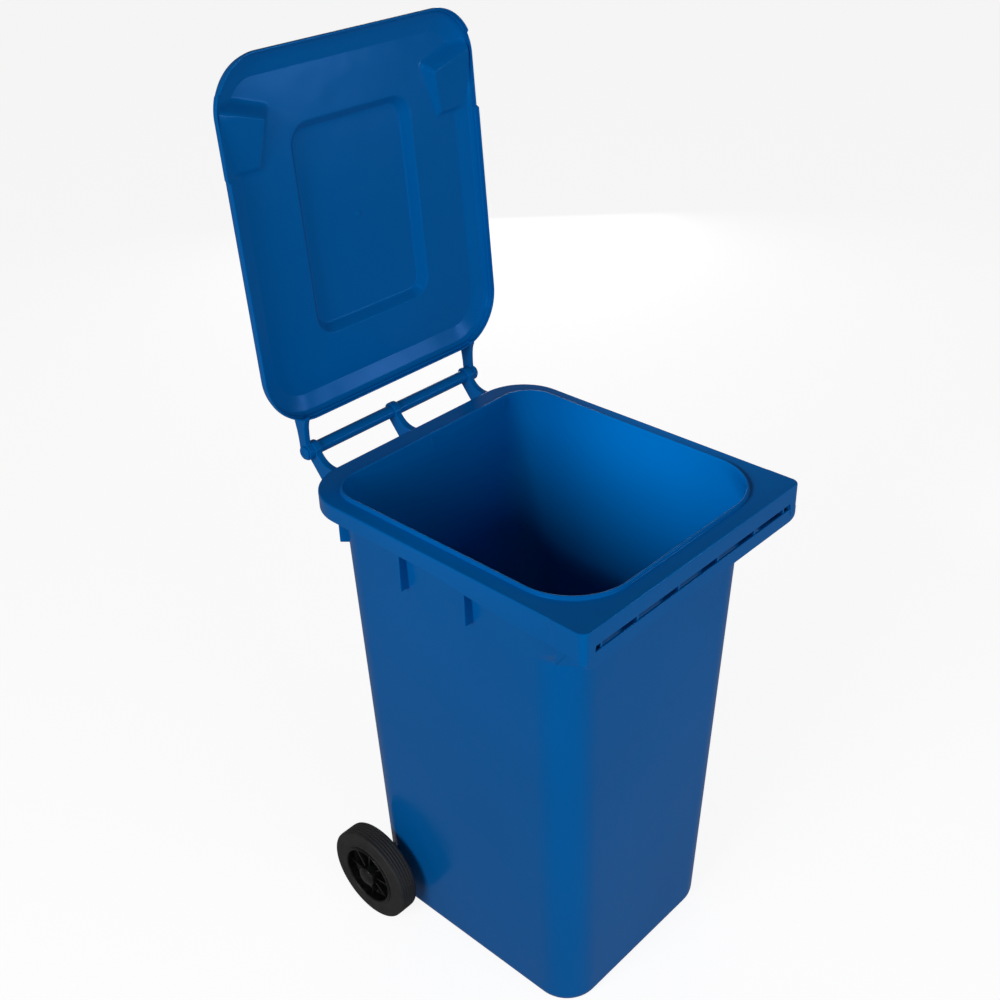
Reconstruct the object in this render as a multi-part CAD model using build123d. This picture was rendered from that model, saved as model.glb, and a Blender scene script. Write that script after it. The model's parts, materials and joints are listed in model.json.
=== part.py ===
from build123d import *
import os
from math import cos, radians, sin, tan

# Two-wheeled household refuse bin of the 240 litre size, with its lid held open.
# Millimetres. Origin: centre of the base on the ground. X runs across the bin, +Y runs
# to the back, where the hinge and the wheels are, and +Z is up.

# ---- driving dimensions -------------------------------------------------------------
RIM_HEIGHT = 990.0        # ground to the flat top of the rim
RIM_WIDTH = 580.0
RIM_OVERHANG_FRONT = 88.0  # rim past the base, at the front
RIM_OVERHANG_REAR = 49.0   # rim past the rear wall
BASE_HALF_WIDTH = 217.0
BASE_DEPTH = 517.0
WALL = 4.0

# body
WALL_LEAN_SIDE = 43.0     # how far each side wall leans out between base and rim
WALL_LEAN_FRONT = 28.0    # the same for the front wall; the rear wall is upright
BODY_FRONT_RADIUS = 70.0
BODY_REAR_RADIUS = 65.0
SHELL_TOP_DROP = 72.0     # from the rim's top to where the mouth starts to flare forward
FOOT_HEIGHT = 14.0        # band at the ground that is drawn in
FOOT_INSET = 12.0
FOOT_FRONT_RADIUS = 84.0
FOOT_REAR_RADIUS = 66.0
FLOOR_UNDERSIDE = 10.0
FLOOR_RING_WIDTH = 26.0
BASE_RIB = 8.0

# rim
RIM_FRONT_RADIUS = 10.0
RIM_REAR_RADIUS = 95.0
MOUTH_HALF_WIDTH = 256.0
MOUTH_FRONT_LAND = 36.0   # flat of the rim in front of the mouth
MOUTH_REAR_LAND = 50.0
MOUTH_FRONT_RADIUS = 110.0
MOUTH_REAR_RADIUS = 60.0
LIP_HEIGHT = 7.0
LIP_WALL = 4.0
SKIRT_DROP_FRONT = 50.0
SKIRT_DROP_REAR = 32.0
SKIRT_STEP_FRONT = 145.0  # distance behind the rim's front edge where the skirt starts to rise
SKIRT_STEP_REAR = 345.0
SIDE_RIB_PLACES = (267.0, 418.0)  # behind the rim's front edge
SKIRT_RIB_REACH = 13.0    # of the ribs under the skirt, past the top of the wall
SKIRT_RIB_ROOT = 12.0     # and in from the outside of the wall
SKIRT_RIB_DROP = 122.0
CORNER_RIB_DROP = 107.0
CORNER_RIB_ANGLE = 45.0   # of the rib at each rear corner, from straight back
RIB = 5.0

# comb receiver for the lifting lorry, across the front
COMB_BAND_DROP = 35.0
COMB_SLOT = 8.0
COMB_BAR_DROP = 72.0
COMB_END_BLOCK = 8.0
COMB_BAR_OVERLAP = 4.0    # of the lower bar and each closed end of the slot
COMB_BAR_END_RADIUS = 18.0
COMB_RIB_COUNT = 6
COMB_RIB_SIDE = 20.0      # from the bar's end to the outermost rib
COMB_RIB_TAPER = 34.0     # a comb rib's lower edge falls this far on its way back

# hinge and handle, measured from the rim's rear top edge
HINGE_BEHIND_RIM = 57.5
HINGE_ABOVE_RIM = 17.5
HANDLE_DIAMETER = 24.0
HANDLE_BORE = 14.0
LUG_INNER = 190.0         # inner face of each outer lug, from the middle
LUG_THICKNESS = 14.0
LUG_RADIUS = 16.5
LUG_SLOPE = 51.0          # of a lug's lower edge, degrees from level
LUG_WALL_DROP = 125.0     # from the rim's top to where a lug ends on the rear wall
LUG_HOLLOW_REACH = 14.0   # lowest point of its hollow upper edge, behind the rim
LUG_HOLLOW_DROP = 5.0
LUG_HOLLOW_RADIUS = 30.0
LUG_HOLLOW_END = 195.0    # where the hollow meets the eye, degrees up from straight back
HANDLE_FIT = 0.3
ARM_GAP = 0.5
ARM_THICKNESS = 12.0
ARM_RADIUS = 15.0
ARM_TOP_ANGLE = 110.0     # where its edges leave the eye, degrees up from straight back
ARM_UNDER_ANGLE = 200.0
ARM_RIDGE_REACH = 10.0    # its top edge runs this far on to the lid before it falls
ARM_RIDGE_RISE = 15.0     # and stands this far above the skirt's top there
ARM_ROOT = 8.0            # how far it runs in past the lid's rear edge
ARM_FLARE = 14.0          # it widens below over this length, next to the lid
ARM_NECK_UNDER = 7.0      # its lower edge under the hinge axis, at the flare
ARM_FLARE_RADIUS = 12.0
PIN_DIAMETER = 13.0
PIN_HEAD_DIAMETER = 25.0
PIN_HEAD_THICKNESS = 4.0
PIN_DEPTH = 42.0          # how far the pin reaches past the lug's inner face
PIN_RUNNING_FIT = 0.08
PIN_HEAD_GAP = 0.4

# lid
LID_OPEN_ANGLE = 94.0
LID_HALF_WIDTH = 284.6
LID_FRONT_REACH = 693.5   # hinge axis to the lid's front edge
LID_REAR_REACH = 62.0
LID_EDGE_ABOVE_RIM = 3.5
LID_SKIRT = 20.0
LID_CROWN = 9.0
LID_BORDER = 38.0
LID_WALL = 3.0
LID_FRONT_RADIUS = 92.0
LID_REAR_RADIUS = 100.0
PANEL_HALF_WIDTH = 136.0
PANEL_FRONT_REACH = 562.0
PANEL_REAR_REACH = 190.0
PANEL_RISE = 15.0
PANEL_SLOPE = 14.0
PANEL_RADIUS = 40.0
GRIP_FRONT_OUTER = 640.0
GRIP_FRONT_INNER = 602.0
GRIP_REAR = 508.0
GRIP_INNER = 172.0
GRIP_INNER_REAR = 196.0
GRIP_LIP = 9.0
GRIP_FRONT_FLOOR = 8.0    # floor of the grip recess above the lid's edge, at its front
GRIP_REAR_FLOOR = 20.0

# axle and wheels
WHEEL_RADIUS = 100.0
AXLE_BEHIND_CENTRE = 220.5
AXLE_DIAMETER = 20.0
AXLE_BORE_FIT = 0.3
AXLE_CHAMFER = 1.0
AXLE_STUB = 3.0           # axle past the push nut
TYRE_OUTER_FACE = 292.0
TYRE_WIDTH = 42.0
TYRE_BORE_RADIUS = 64.0
TYRE_SHOULDER = 8.0
TREAD_GROOVE = 2.4
TREAD_GROOVE_PLACES = (-10.0, 0.0, 10.0)
RIM_BARREL = 4.0
RIM_FLANGE = 2.0
WHEEL_WEB = 4.0
WHEEL_RIB_COUNT = 8
WHEEL_RIB = 3.4
HUB_RADIUS = 21.0
HUB_INNER_STANDOFF = 5.0
HUB_OUTER_STANDOFF = 4.0
HUB_COUNTERBORE_RADIUS = 15.5
HUB_COUNTERBORE_DEPTH = 13.0
HUB_RUNNING_FIT = 0.08
CAP_DOME = 5.0
CAP_LIP = 2.5
CAP_SKIRT = 2.0
CAP_SKIRT_LENGTH = 5.0
NUT_RADIUS = 13.0
NUT_THICKNESS = 2.5
NUT_GAP = 0.4
WASHER_RADIUS = 18.0
WASHER_THICKNESS = 2.0
SPACER_RADIUS = 15.0
AXLE_RING_FIT = 0.3       # round the axle, inside the washers and spacers
CHEEK_BOSS_RADIUS = 24.0
CHEEK_BOSS_REACH = 5.0
AXLE_WEB_PLACES = (-75.0, 75.0)
AXLE_TUNNEL_FRONT = 46.0  # from the axle to the tunnel's front wall
AXLE_TUNNEL_ROOF = 38.0   # from the axle up to the tunnel's roof

# ---- worked out ---------------------------------------------------------------------
BASE_FRONT_Y = -BASE_DEPTH / 2
REAR_WALL_Y = BASE_DEPTH / 2
RIM_FRONT_Y = BASE_FRONT_Y - RIM_OVERHANG_FRONT
RIM_REAR_Y = REAR_WALL_Y + RIM_OVERHANG_REAR
RIM_HALF_WIDTH = RIM_WIDTH / 2
SHELL_TOP_Z = RIM_HEIGHT - SHELL_TOP_DROP
RIM_UNDERSIDE_Z = RIM_HEIGHT - WALL
HINGE_Y = RIM_REAR_Y + HINGE_BEHIND_RIM
HINGE_Z = RIM_HEIGHT + HINGE_ABOVE_RIM
LUG_OUTER = LUG_INNER + LUG_THICKNESS
ARM_INNER = LUG_OUTER + ARM_GAP
ARM_OUTER = ARM_INNER + ARM_THICKNESS
LID_EDGE_D = LID_EDGE_ABOVE_RIM - HINGE_ABOVE_RIM
AXLE_Y = AXLE_BEHIND_CENTRE
AXLE_Z = WHEEL_RADIUS
TYRE_INNER_FACE = TYRE_OUTER_FACE - TYRE_WIDTH
HUB_INNER_END = TYRE_INNER_FACE - HUB_INNER_STANDOFF
HUB_OUTER_END = TYRE_OUTER_FACE + HUB_OUTER_STANDOFF
NUT_INNER_FACE = HUB_OUTER_END - HUB_COUNTERBORE_DEPTH + NUT_GAP
AXLE_END = NUT_INNER_FACE + NUT_THICKNESS + AXLE_STUB
AXLE_TUNNEL_FRONT_Y = AXLE_Y - AXLE_TUNNEL_FRONT
AXLE_TUNNEL_TOP_Z = AXLE_Z + AXLE_TUNNEL_ROOF
OVERCUT = 1.0


def outline(half_width, y_front, y_rear, front_radius, rear_radius, z):
    """Flat rectangle seen from above with its own radius on the front and rear corners."""
    face = Pos(0, (y_front + y_rear) / 2) * Rectangle(2 * half_width, y_rear - y_front)
    face = fillet(face.vertices().sort_by(Axis.Y)[:2], front_radius)
    face = fillet(face.vertices().sort_by(Axis.Y)[-2:], rear_radius)
    return Pos(0, 0, z) * face


def body_outline(z, inset=0.0):
    """Outside of the leaning shell at height z, moved in by inset."""
    lean = z / RIM_HEIGHT
    return outline(
        BASE_HALF_WIDTH + WALL_LEAN_SIDE * lean - inset,
        BASE_FRONT_Y - WALL_LEAN_FRONT * lean + inset,
        REAR_WALL_Y - inset,
        BODY_FRONT_RADIUS - inset,
        BODY_REAR_RADIUS - inset,
        z,
    )


def mouth_outline(z, grow=0.0):
    """Mouth of the bin at height z, moved out by grow."""
    return outline(
        MOUTH_HALF_WIDTH + grow,
        RIM_FRONT_Y + MOUTH_FRONT_LAND - grow,
        RIM_REAR_Y - MOUTH_REAR_LAND + grow,
        MOUTH_FRONT_RADIUS + grow,
        MOUTH_REAR_RADIUS + grow,
        z,
    )


def rim_outline(z, inset=0.0):
    """Outside of the rim at height z, moved in by inset."""
    return outline(
        RIM_HALF_WIDTH - inset,
        RIM_FRONT_Y + inset,
        RIM_REAR_Y - inset,
        RIM_FRONT_RADIUS - inset,
        RIM_REAR_RADIUS - inset,
        z,
    )


def block(x0, x1, y0, y1, z0, z1):
    """Box between two corners."""
    centre = Pos((x0 + x1) / 2, (y0 + y1) / 2, (z0 + z1) / 2)
    return centre * Box(abs(x1 - x0), abs(y1 - y0), abs(z1 - z0))


def side_plate(points, x0, x1, rounding=None):
    """Plate between two X planes, from its outline as (y, z) points.

    rounding gives the radius of some corners, by their place in the list."""
    face = make_face(Polyline(*points, close=True))
    for place, radius in (rounding or {}).items():
        corner = face.vertices().sort_by_distance((*points[place], 0))[0]
        face = fillet(corner, radius)
    return Pos(x0, 0, 0) * extrude(Plane.YZ * face, x1 - x0)


def on_circle(radius, angle, y=0.0, z=0.0):
    """Point (y, z) on a circle seen along X; the angle is from +Y towards +Z."""
    return (y + radius * cos(radians(angle)), z + radius * sin(radians(angle)))


def x_cylinder(radius, x0, x1, y, z):
    """Cylinder along X between two X planes."""
    return Pos((x0 + x1) / 2, y, z) * Rot(0, 90, 0) * Cylinder(radius, abs(x1 - x0))


# ---- body ---------------------------------------------------------------------------
def shell_outside():
    """Leaning shell, drawn in at the ground, flared forward under the rim."""
    ground = outline(
        BASE_HALF_WIDTH - FOOT_INSET,
        BASE_FRONT_Y + FOOT_INSET,
        REAR_WALL_Y - FOOT_INSET,
        FOOT_FRONT_RADIUS,
        FOOT_REAR_RADIUS,
        0,
    )
    foot = loft([ground, body_outline(FOOT_HEIGHT)])
    shell = loft([body_outline(FOOT_HEIGHT), body_outline(SHELL_TOP_Z)])
    flare = loft([body_outline(SHELL_TOP_Z), mouth_outline(RIM_UNDERSIDE_Z, LIP_WALL)])
    lip = extrude(mouth_outline(RIM_UNDERSIDE_Z, LIP_WALL), WALL + LIP_HEIGHT)
    return foot + shell + flare + lip


def shell_inside():
    """Space for the refuse, with the raised step over the axle tunnel taken out of it."""
    floor_z = FLOOR_UNDERSIDE + WALL
    shell = loft([body_outline(floor_z, WALL), body_outline(SHELL_TOP_Z, WALL)])
    flare = loft([body_outline(SHELL_TOP_Z, WALL), mouth_outline(RIM_UNDERSIDE_Z)])
    mouth = extrude(mouth_outline(RIM_UNDERSIDE_Z), WALL + LIP_HEIGHT + OVERCUT)
    step = block(
        -RIM_WIDTH, RIM_WIDTH, AXLE_TUNNEL_FRONT_Y - WALL, RIM_REAR_Y, 0, AXLE_TUNNEL_TOP_Z + WALL
    )
    return shell - step + flare + mouth


def axle_tunnel():
    """Recess under the rear of the base that the axle crosses, open below and behind."""
    half = BASE_HALF_WIDTH - BODY_REAR_RADIUS / 2
    tunnel = block(
        -half, half, AXLE_TUNNEL_FRONT_Y, RIM_REAR_Y, -OVERCUT, AXLE_TUNNEL_TOP_Z
    )
    for x in AXLE_WEB_PLACES:
        tunnel -= block(
            x - RIB / 2, x + RIB / 2, AXLE_TUNNEL_FRONT_Y, REAR_WALL_Y - WALL, 0, AXLE_TUNNEL_TOP_Z
        )
    return tunnel


def base_hollow():
    """Space under the floor inside the foot ring, less the cross ribs."""
    hollow = extrude(
        outline(
            BASE_HALF_WIDTH - FLOOR_RING_WIDTH,
            BASE_FRONT_Y + FLOOR_RING_WIDTH,
            AXLE_TUNNEL_FRONT_Y - FLOOR_RING_WIDTH,
            FOOT_FRONT_RADIUS - FLOOR_RING_WIDTH,
            RIB,
            -OVERCUT,
        ),
        FLOOR_UNDERSIDE + OVERCUT,
    )
    hollow -= block(-BASE_RIB / 2, BASE_RIB / 2, BASE_FRONT_Y, REAR_WALL_Y, 0, FLOOR_UNDERSIDE)
    hollow -= block(-RIM_WIDTH, RIM_WIDTH, -BASE_RIB / 2, BASE_RIB / 2, 0, FLOOR_UNDERSIDE)
    return hollow


def rim_flange():
    """Flat top of the rim and the skirt that hangs from its edge, deeper at the front."""
    flange = extrude(rim_outline(RIM_UNDERSIDE_Z), WALL)
    skirt = extrude(rim_outline(RIM_HEIGHT), -COMB_BAR_DROP)
    skirt -= extrude(rim_outline(RIM_HEIGHT + OVERCUT, WALL), -COMB_BAR_DROP - 2 * OVERCUT)
    low = RIM_HEIGHT - COMB_BAR_DROP - OVERCUT
    under = [
        (RIM_FRONT_Y - OVERCUT, low),
        (RIM_FRONT_Y - OVERCUT, RIM_HEIGHT - SKIRT_DROP_FRONT),
        (RIM_FRONT_Y + SKIRT_STEP_FRONT, RIM_HEIGHT - SKIRT_DROP_FRONT),
        (RIM_FRONT_Y + SKIRT_STEP_REAR, RIM_HEIGHT - SKIRT_DROP_REAR),
        (RIM_REAR_Y + OVERCUT, RIM_HEIGHT - SKIRT_DROP_REAR),
        (RIM_REAR_Y + OVERCUT, low),
    ]
    skirt -= side_plate(under, -RIM_WIDTH, RIM_WIDTH)
    slot_half = RIM_HALF_WIDTH - COMB_END_BLOCK
    skirt -= block(
        -slot_half, slot_half, RIM_FRONT_Y - OVERCUT, RIM_FRONT_Y + 2 * WALL,
        low, RIM_HEIGHT - COMB_BAND_DROP,
    )
    return flange + skirt


def comb_receiver():
    """Lower bar across the front and the ribs that carry it from the front wall."""
    bar_top = RIM_HEIGHT - COMB_BAND_DROP - COMB_SLOT
    bar_bottom = RIM_HEIGHT - COMB_BAR_DROP
    bar_half = RIM_HALF_WIDTH - COMB_END_BLOCK + COMB_BAR_OVERLAP
    bar = block(-bar_half, bar_half, RIM_FRONT_Y, RIM_FRONT_Y + WALL, bar_bottom, bar_top)
    ends = bar.edges().filter_by(Axis.Y)
    bar = fillet(ends.sort_by(Axis.Z)[:2], COMB_BAR_END_RADIUS)
    wall_y = RIM_FRONT_Y + RIM_OVERHANG_FRONT
    first = -bar_half + COMB_RIB_SIDE
    spacing = -2 * first / (COMB_RIB_COUNT - 1)
    for i in range(COMB_RIB_COUNT):
        x = first + i * spacing
        bar += side_plate(
            [
                (RIM_FRONT_Y + WALL / 2, bar_bottom),
                (wall_y, bar_bottom - COMB_RIB_TAPER),
                (wall_y, RIM_UNDERSIDE_Z),
                (RIM_FRONT_Y + WALL / 2, RIM_UNDERSIDE_Z),
            ],
            x - RIB / 2, x + RIB / 2,
        )
    return bar


def skirt_ribs():
    """Short plates under the skirt: two on each side and one at each rear corner."""
    ribs = []
    wall_x = BASE_HALF_WIDTH + WALL_LEAN_SIDE
    for side in (-1, 1):
        for place in SIDE_RIB_PLACES:
            y = RIM_FRONT_Y + place
            ribs.append(block(
                side * (wall_x - SKIRT_RIB_ROOT), side * (wall_x + SKIRT_RIB_REACH),
                y - RIB / 2, y + RIB / 2, RIM_HEIGHT - SKIRT_RIB_DROP, RIM_UNDERSIDE_Z,
            ))
        plate = block(
            -RIB / 2, RIB / 2,
            BODY_REAR_RADIUS - SKIRT_RIB_ROOT, BODY_REAR_RADIUS + SKIRT_RIB_REACH,
            RIM_HEIGHT - CORNER_RIB_DROP, RIM_UNDERSIDE_Z,
        )
        corner = Pos(side * (wall_x - BODY_REAR_RADIUS), REAR_WALL_Y - BODY_REAR_RADIUS, 0)
        ribs.append(corner * Rot(0, 0, -side * CORNER_RIB_ANGLE) * plate)
    return ribs


def lug(x0, x1):
    """Ear behind the rim that carries the handle bar; it runs down to the rear wall."""
    eye = x_cylinder(LUG_RADIUS, x0, x1, HINGE_Y, HINGE_Z)
    tangent_y, tangent_z = on_circle(LUG_RADIUS, LUG_SLOPE - 90, HINGE_Y, HINGE_Z)
    wall_y = REAR_WALL_Y - WALL / 2
    plate = side_plate(
        [
            (wall_y, RIM_UNDERSIDE_Z),
            (RIM_REAR_Y - WALL, RIM_UNDERSIDE_Z),
            (RIM_REAR_Y + LUG_HOLLOW_REACH, RIM_HEIGHT - LUG_HOLLOW_DROP),
            on_circle(LUG_RADIUS, LUG_HOLLOW_END, HINGE_Y, HINGE_Z),
            (tangent_y, tangent_z),
            (RIM_REAR_Y, tangent_z - (tangent_y - RIM_REAR_Y) * tan(radians(LUG_SLOPE))),
            (wall_y, RIM_HEIGHT - LUG_WALL_DROP),
        ],
        x0, x1, {2: LUG_HOLLOW_RADIUS},
    )
    return eye + plate


def lug_spans():
    """X planes of the three lugs."""
    return [
        (-LUG_OUTER, -LUG_INNER),
        (-LUG_THICKNESS / 2, LUG_THICKNESS / 2),
        (LUG_INNER, LUG_OUTER),
    ]


def axle_cheek(side):
    """Boss on the side wall that the axle passes through."""
    return x_cylinder(
        CHEEK_BOSS_RADIUS,
        side * (BASE_HALF_WIDTH - WALL),
        side * (BASE_HALF_WIDTH + CHEEK_BOSS_REACH),
        AXLE_Y, AXLE_Z,
    )


def body_shell():
    """The one-piece moulding: tub, rim, comb receiver, ribs, lugs and axle housing."""
    body = shell_outside() + rim_flange() + comb_receiver()
    for rib in skirt_ribs():
        body += rib
    for x0, x1 in lug_spans():
        body += lug(x0, x1)
    body -= shell_inside()
    body -= axle_tunnel()
    body -= base_hollow()
    for side in (-1, 1):
        body += axle_cheek(side)
    body -= x_cylinder(
        AXLE_DIAMETER / 2 + AXLE_BORE_FIT, -RIM_WIDTH, RIM_WIDTH, AXLE_Y, AXLE_Z
    )
    body -= x_cylinder(
        HANDLE_DIAMETER / 2 + HANDLE_FIT, -RIM_WIDTH, RIM_WIDTH, HINGE_Y, HINGE_Z
    )
    return body


# ---- handle and hinge ---------------------------------------------------------------
def handle_bar():
    """Tube through the three lugs, to pull the bin by."""
    bar = x_cylinder(HANDLE_DIAMETER / 2, -LUG_OUTER, LUG_OUTER, HINGE_Y, HINGE_Z)
    return bar - x_cylinder(HANDLE_BORE / 2, -RIM_WIDTH, RIM_WIDTH, HINGE_Y, HINGE_Z)


def hinge_pin(side):
    """Headed plastic pin pushed through the lid's arm into the end of the handle bar."""
    tip = LUG_INNER - PIN_DEPTH
    head_inner = ARM_OUTER + PIN_HEAD_GAP
    stages = [
        (PIN_DIAMETER / 2, tip, head_inner),
        (HANDLE_BORE / 2, tip + PIN_DEPTH / 2, LUG_OUTER),
        (PIN_HEAD_DIAMETER / 2, head_inner, head_inner + PIN_HEAD_THICKNESS),
    ]
    pin = Part()
    for radius, inner, outer in stages:
        pin += x_cylinder(radius, side * inner, side * outer, HINGE_Y, HINGE_Z)
    return pin


# ---- lid ----------------------------------------------------------------------------
# The lid is drawn closed, in a frame whose origin is the hinge axis: -Y runs to the lid's
# front edge and +Z is up. It is then turned open about that axis.
def lid_outline(d, inset=0.0):
    return outline(
        LID_HALF_WIDTH - inset,
        -LID_FRONT_REACH + inset,
        -LID_REAR_REACH - inset,
        LID_FRONT_RADIUS - inset,
        LID_REAR_RADIUS - inset,
        d,
    )


def panel_outline(d, inset=0.0):
    return outline(
        PANEL_HALF_WIDTH - inset,
        -PANEL_FRONT_REACH + inset,
        -PANEL_REAR_REACH - inset,
        PANEL_RADIUS - inset,
        PANEL_RADIUS - inset,
        d,
    )


def lid_form(inset, drop, start):
    """Lid as a solid form: skirt, sloping border and raised middle panel."""
    skirt_top = LID_EDGE_D + LID_SKIRT - drop
    border_top = skirt_top + LID_CROWN
    skirt = extrude(lid_outline(start, inset), skirt_top - start)
    border = loft([lid_outline(skirt_top, inset), lid_outline(border_top, LID_BORDER + inset)])
    panel = loft([panel_outline(border_top, 0), panel_outline(border_top + PANEL_RISE, PANEL_SLOPE)])
    return skirt + border + panel


def grip_recess(side, grow, drop):
    """Hand recess cut down into a front corner; its floor slopes up to the rear."""
    high = LID_EDGE_D + LID_SKIRT + LID_CROWN + PANEL_RISE
    front_floor = LID_EDGE_D + GRIP_FRONT_FLOOR - drop
    lip_floor = LID_EDGE_D + GRIP_LIP - drop
    rear_floor = LID_EDGE_D + GRIP_REAR_FLOOR - drop
    outside = LID_HALF_WIDTH + LID_WALL + OVERCUT
    plan = make_face(Polyline(
        (outside, -GRIP_FRONT_OUTER - grow),
        (GRIP_INNER - grow, -GRIP_FRONT_INNER - grow),
        (GRIP_INNER_REAR - grow, -GRIP_REAR + grow),
        (outside, -GRIP_REAR + grow),
        close=True,
    ))
    if side < 0:
        plan = mirror(plan, Plane.YZ)
    column = extrude(Pos(0, 0, front_floor) * plan, high - front_floor)
    ramp = side_plate(
        [
            (-GRIP_FRONT_OUTER - 2 * grow, front_floor - OVERCUT),
            (-GRIP_FRONT_OUTER - 2 * grow, front_floor),
            (-GRIP_FRONT_INNER, front_floor),
            (-GRIP_REAR + grow, rear_floor),
            (-GRIP_REAR + grow, front_floor - OVERCUT),
        ],
        -RIM_WIDTH, RIM_WIDTH,
    )
    edge_band = block(
        side * (LID_HALF_WIDTH - GRIP_LIP), side * (outside + OVERCUT),
        -LID_FRONT_REACH, -LID_REAR_REACH, front_floor - OVERCUT, lip_floor,
    )
    return column - ramp - edge_band


def lid_arm(side):
    """Arm from the hinge pin on to the lid's rear border, wider where it meets the lid."""
    x0, x1 = side * ARM_INNER, side * ARM_OUTER
    skirt_top = LID_EDGE_D + LID_SKIRT
    root = -LID_REAR_REACH - ARM_ROOT
    root_top = skirt_top + LID_CROWN * ARM_ROOT / LID_BORDER - LID_WALL / 2
    plate = side_plate(
        [
            on_circle(ARM_RADIUS, ARM_TOP_ANGLE),
            (-LID_REAR_REACH - ARM_RIDGE_REACH, skirt_top + ARM_RIDGE_RISE),
            (-LID_REAR_REACH - LID_BORDER, skirt_top + LID_CROWN - LID_WALL / 2),
            (root, root_top),
            (root, LID_EDGE_D),
            (-LID_REAR_REACH, LID_EDGE_D),
            (-LID_REAR_REACH + ARM_FLARE, -ARM_NECK_UNDER),
            on_circle(ARM_RADIUS, ARM_UNDER_ANGLE),
        ],
        x0, x1, {1: ARM_FLARE_RADIUS, 6: ARM_FLARE_RADIUS},
    )
    return x_cylinder(ARM_RADIUS, x0, x1, 0, 0) + plate


def lid_closed():
    lid = lid_form(0, 0, LID_EDGE_D)
    for side in (-1, 1):
        lid -= grip_recess(side, 0, 0)
    inside = lid_form(LID_WALL, LID_WALL, LID_EDGE_D - OVERCUT)
    for side in (-1, 1):
        inside -= grip_recess(side, LID_WALL, LID_WALL)
    lid -= inside
    for side in (-1, 1):
        lid += lid_arm(side)
    return lid - x_cylinder(PIN_DIAMETER / 2 + PIN_RUNNING_FIT, -RIM_WIDTH, RIM_WIDTH, 0, 0)


def lid():
    return Pos(0, HINGE_Y, HINGE_Z) * Rot(-LID_OPEN_ANGLE, 0, 0) * lid_closed()


# ---- axle and wheels ----------------------------------------------------------------
def turned_face(face, side):
    """Ring turned about the axle from a face that is drawn with the axle along X."""
    piece = revolve(face, Axis.X)
    if side < 0:
        piece = mirror(piece, Plane.YZ)
    return Pos(0, AXLE_Y, AXLE_Z) * piece


def turned(points, side):
    """The same from its outline as (distance from the middle, radius) points."""
    return turned_face(make_face(Polyline(*points, close=True)), side)


def axle():
    """Steel bar from wheel to wheel."""
    bar = x_cylinder(AXLE_DIAMETER / 2, -AXLE_END, AXLE_END, AXLE_Y, AXLE_Z)
    return chamfer(bar.edges().filter_by(GeomType.CIRCLE), AXLE_CHAMFER)


def tyre(side):
    """Solid rubber tyre with rounded shoulders and three grooves round its tread."""
    middle = (TYRE_INNER_FACE + TYRE_OUTER_FACE) / 2
    half = TYRE_WIDTH / 2
    face = make_face(Polyline(
        (middle - half, TYRE_BORE_RADIUS),
        (middle - half, WHEEL_RADIUS),
        (middle + half, WHEEL_RADIUS),
        (middle + half, TYRE_BORE_RADIUS),
        close=True,
    ))
    face = fillet(face.vertices().sort_by(Axis.Y)[-2:], TYRE_SHOULDER)
    for place in TREAD_GROOVE_PLACES:
        face -= Pos(middle + place, WHEEL_RADIUS) * Rectangle(TREAD_GROOVE, TREAD_GROOVE)
    return turned_face(face, side)


def wheel_rim(side):
    """Moulded wheel: barrel with flanges, web, ribs on both faces and a long hub."""
    bore = AXLE_DIAMETER / 2 + HUB_RUNNING_FIT
    barrel_inner = TYRE_BORE_RADIUS - RIM_BARREL
    middle = (TYRE_INNER_FACE + TYRE_OUTER_FACE) / 2
    barrel = turned(
        [
            (TYRE_INNER_FACE - RIM_FLANGE, barrel_inner),
            (TYRE_INNER_FACE - RIM_FLANGE, TYRE_BORE_RADIUS + RIM_FLANGE),
            (TYRE_INNER_FACE, TYRE_BORE_RADIUS + RIM_FLANGE),
            (TYRE_INNER_FACE, TYRE_BORE_RADIUS),
            (TYRE_OUTER_FACE, TYRE_BORE_RADIUS),
            (TYRE_OUTER_FACE, TYRE_BORE_RADIUS + RIM_FLANGE),
            (TYRE_OUTER_FACE + RIM_FLANGE, TYRE_BORE_RADIUS + RIM_FLANGE),
            (TYRE_OUTER_FACE + RIM_FLANGE, barrel_inner),
        ],
        side,
    )
    web = turned(
        [
            (middle - WHEEL_WEB / 2, HUB_RADIUS - OVERCUT),
            (middle - WHEEL_WEB / 2, barrel_inner + OVERCUT),
            (middle + WHEEL_WEB / 2, barrel_inner + OVERCUT),
            (middle + WHEEL_WEB / 2, HUB_RADIUS - OVERCUT),
        ],
        side,
    )
    hub = turned(
        [
            (HUB_INNER_END, bore),
            (HUB_INNER_END, HUB_RADIUS),
            (HUB_OUTER_END, HUB_RADIUS),
            (HUB_OUTER_END, HUB_COUNTERBORE_RADIUS),
            (HUB_OUTER_END - HUB_COUNTERBORE_DEPTH, HUB_COUNTERBORE_RADIUS),
            (HUB_OUTER_END - HUB_COUNTERBORE_DEPTH, bore),
        ],
        side,
    )
    wheel = barrel + web + hub
    rib_half_width = TYRE_WIDTH / 2 - RIB
    for i in range(WHEEL_RIB_COUNT):
        rib = Pos(0, (HUB_RADIUS + barrel_inner) / 2, 0) * Box(
            2 * rib_half_width, barrel_inner - HUB_RADIUS + 2 * OVERCUT, WHEEL_RIB
        )
        turn = Rot(360.0 * i / WHEEL_RIB_COUNT, 0, 0)
        wheel += Pos(side * middle, AXLE_Y, AXLE_Z) * turn * rib
    return wheel


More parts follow.
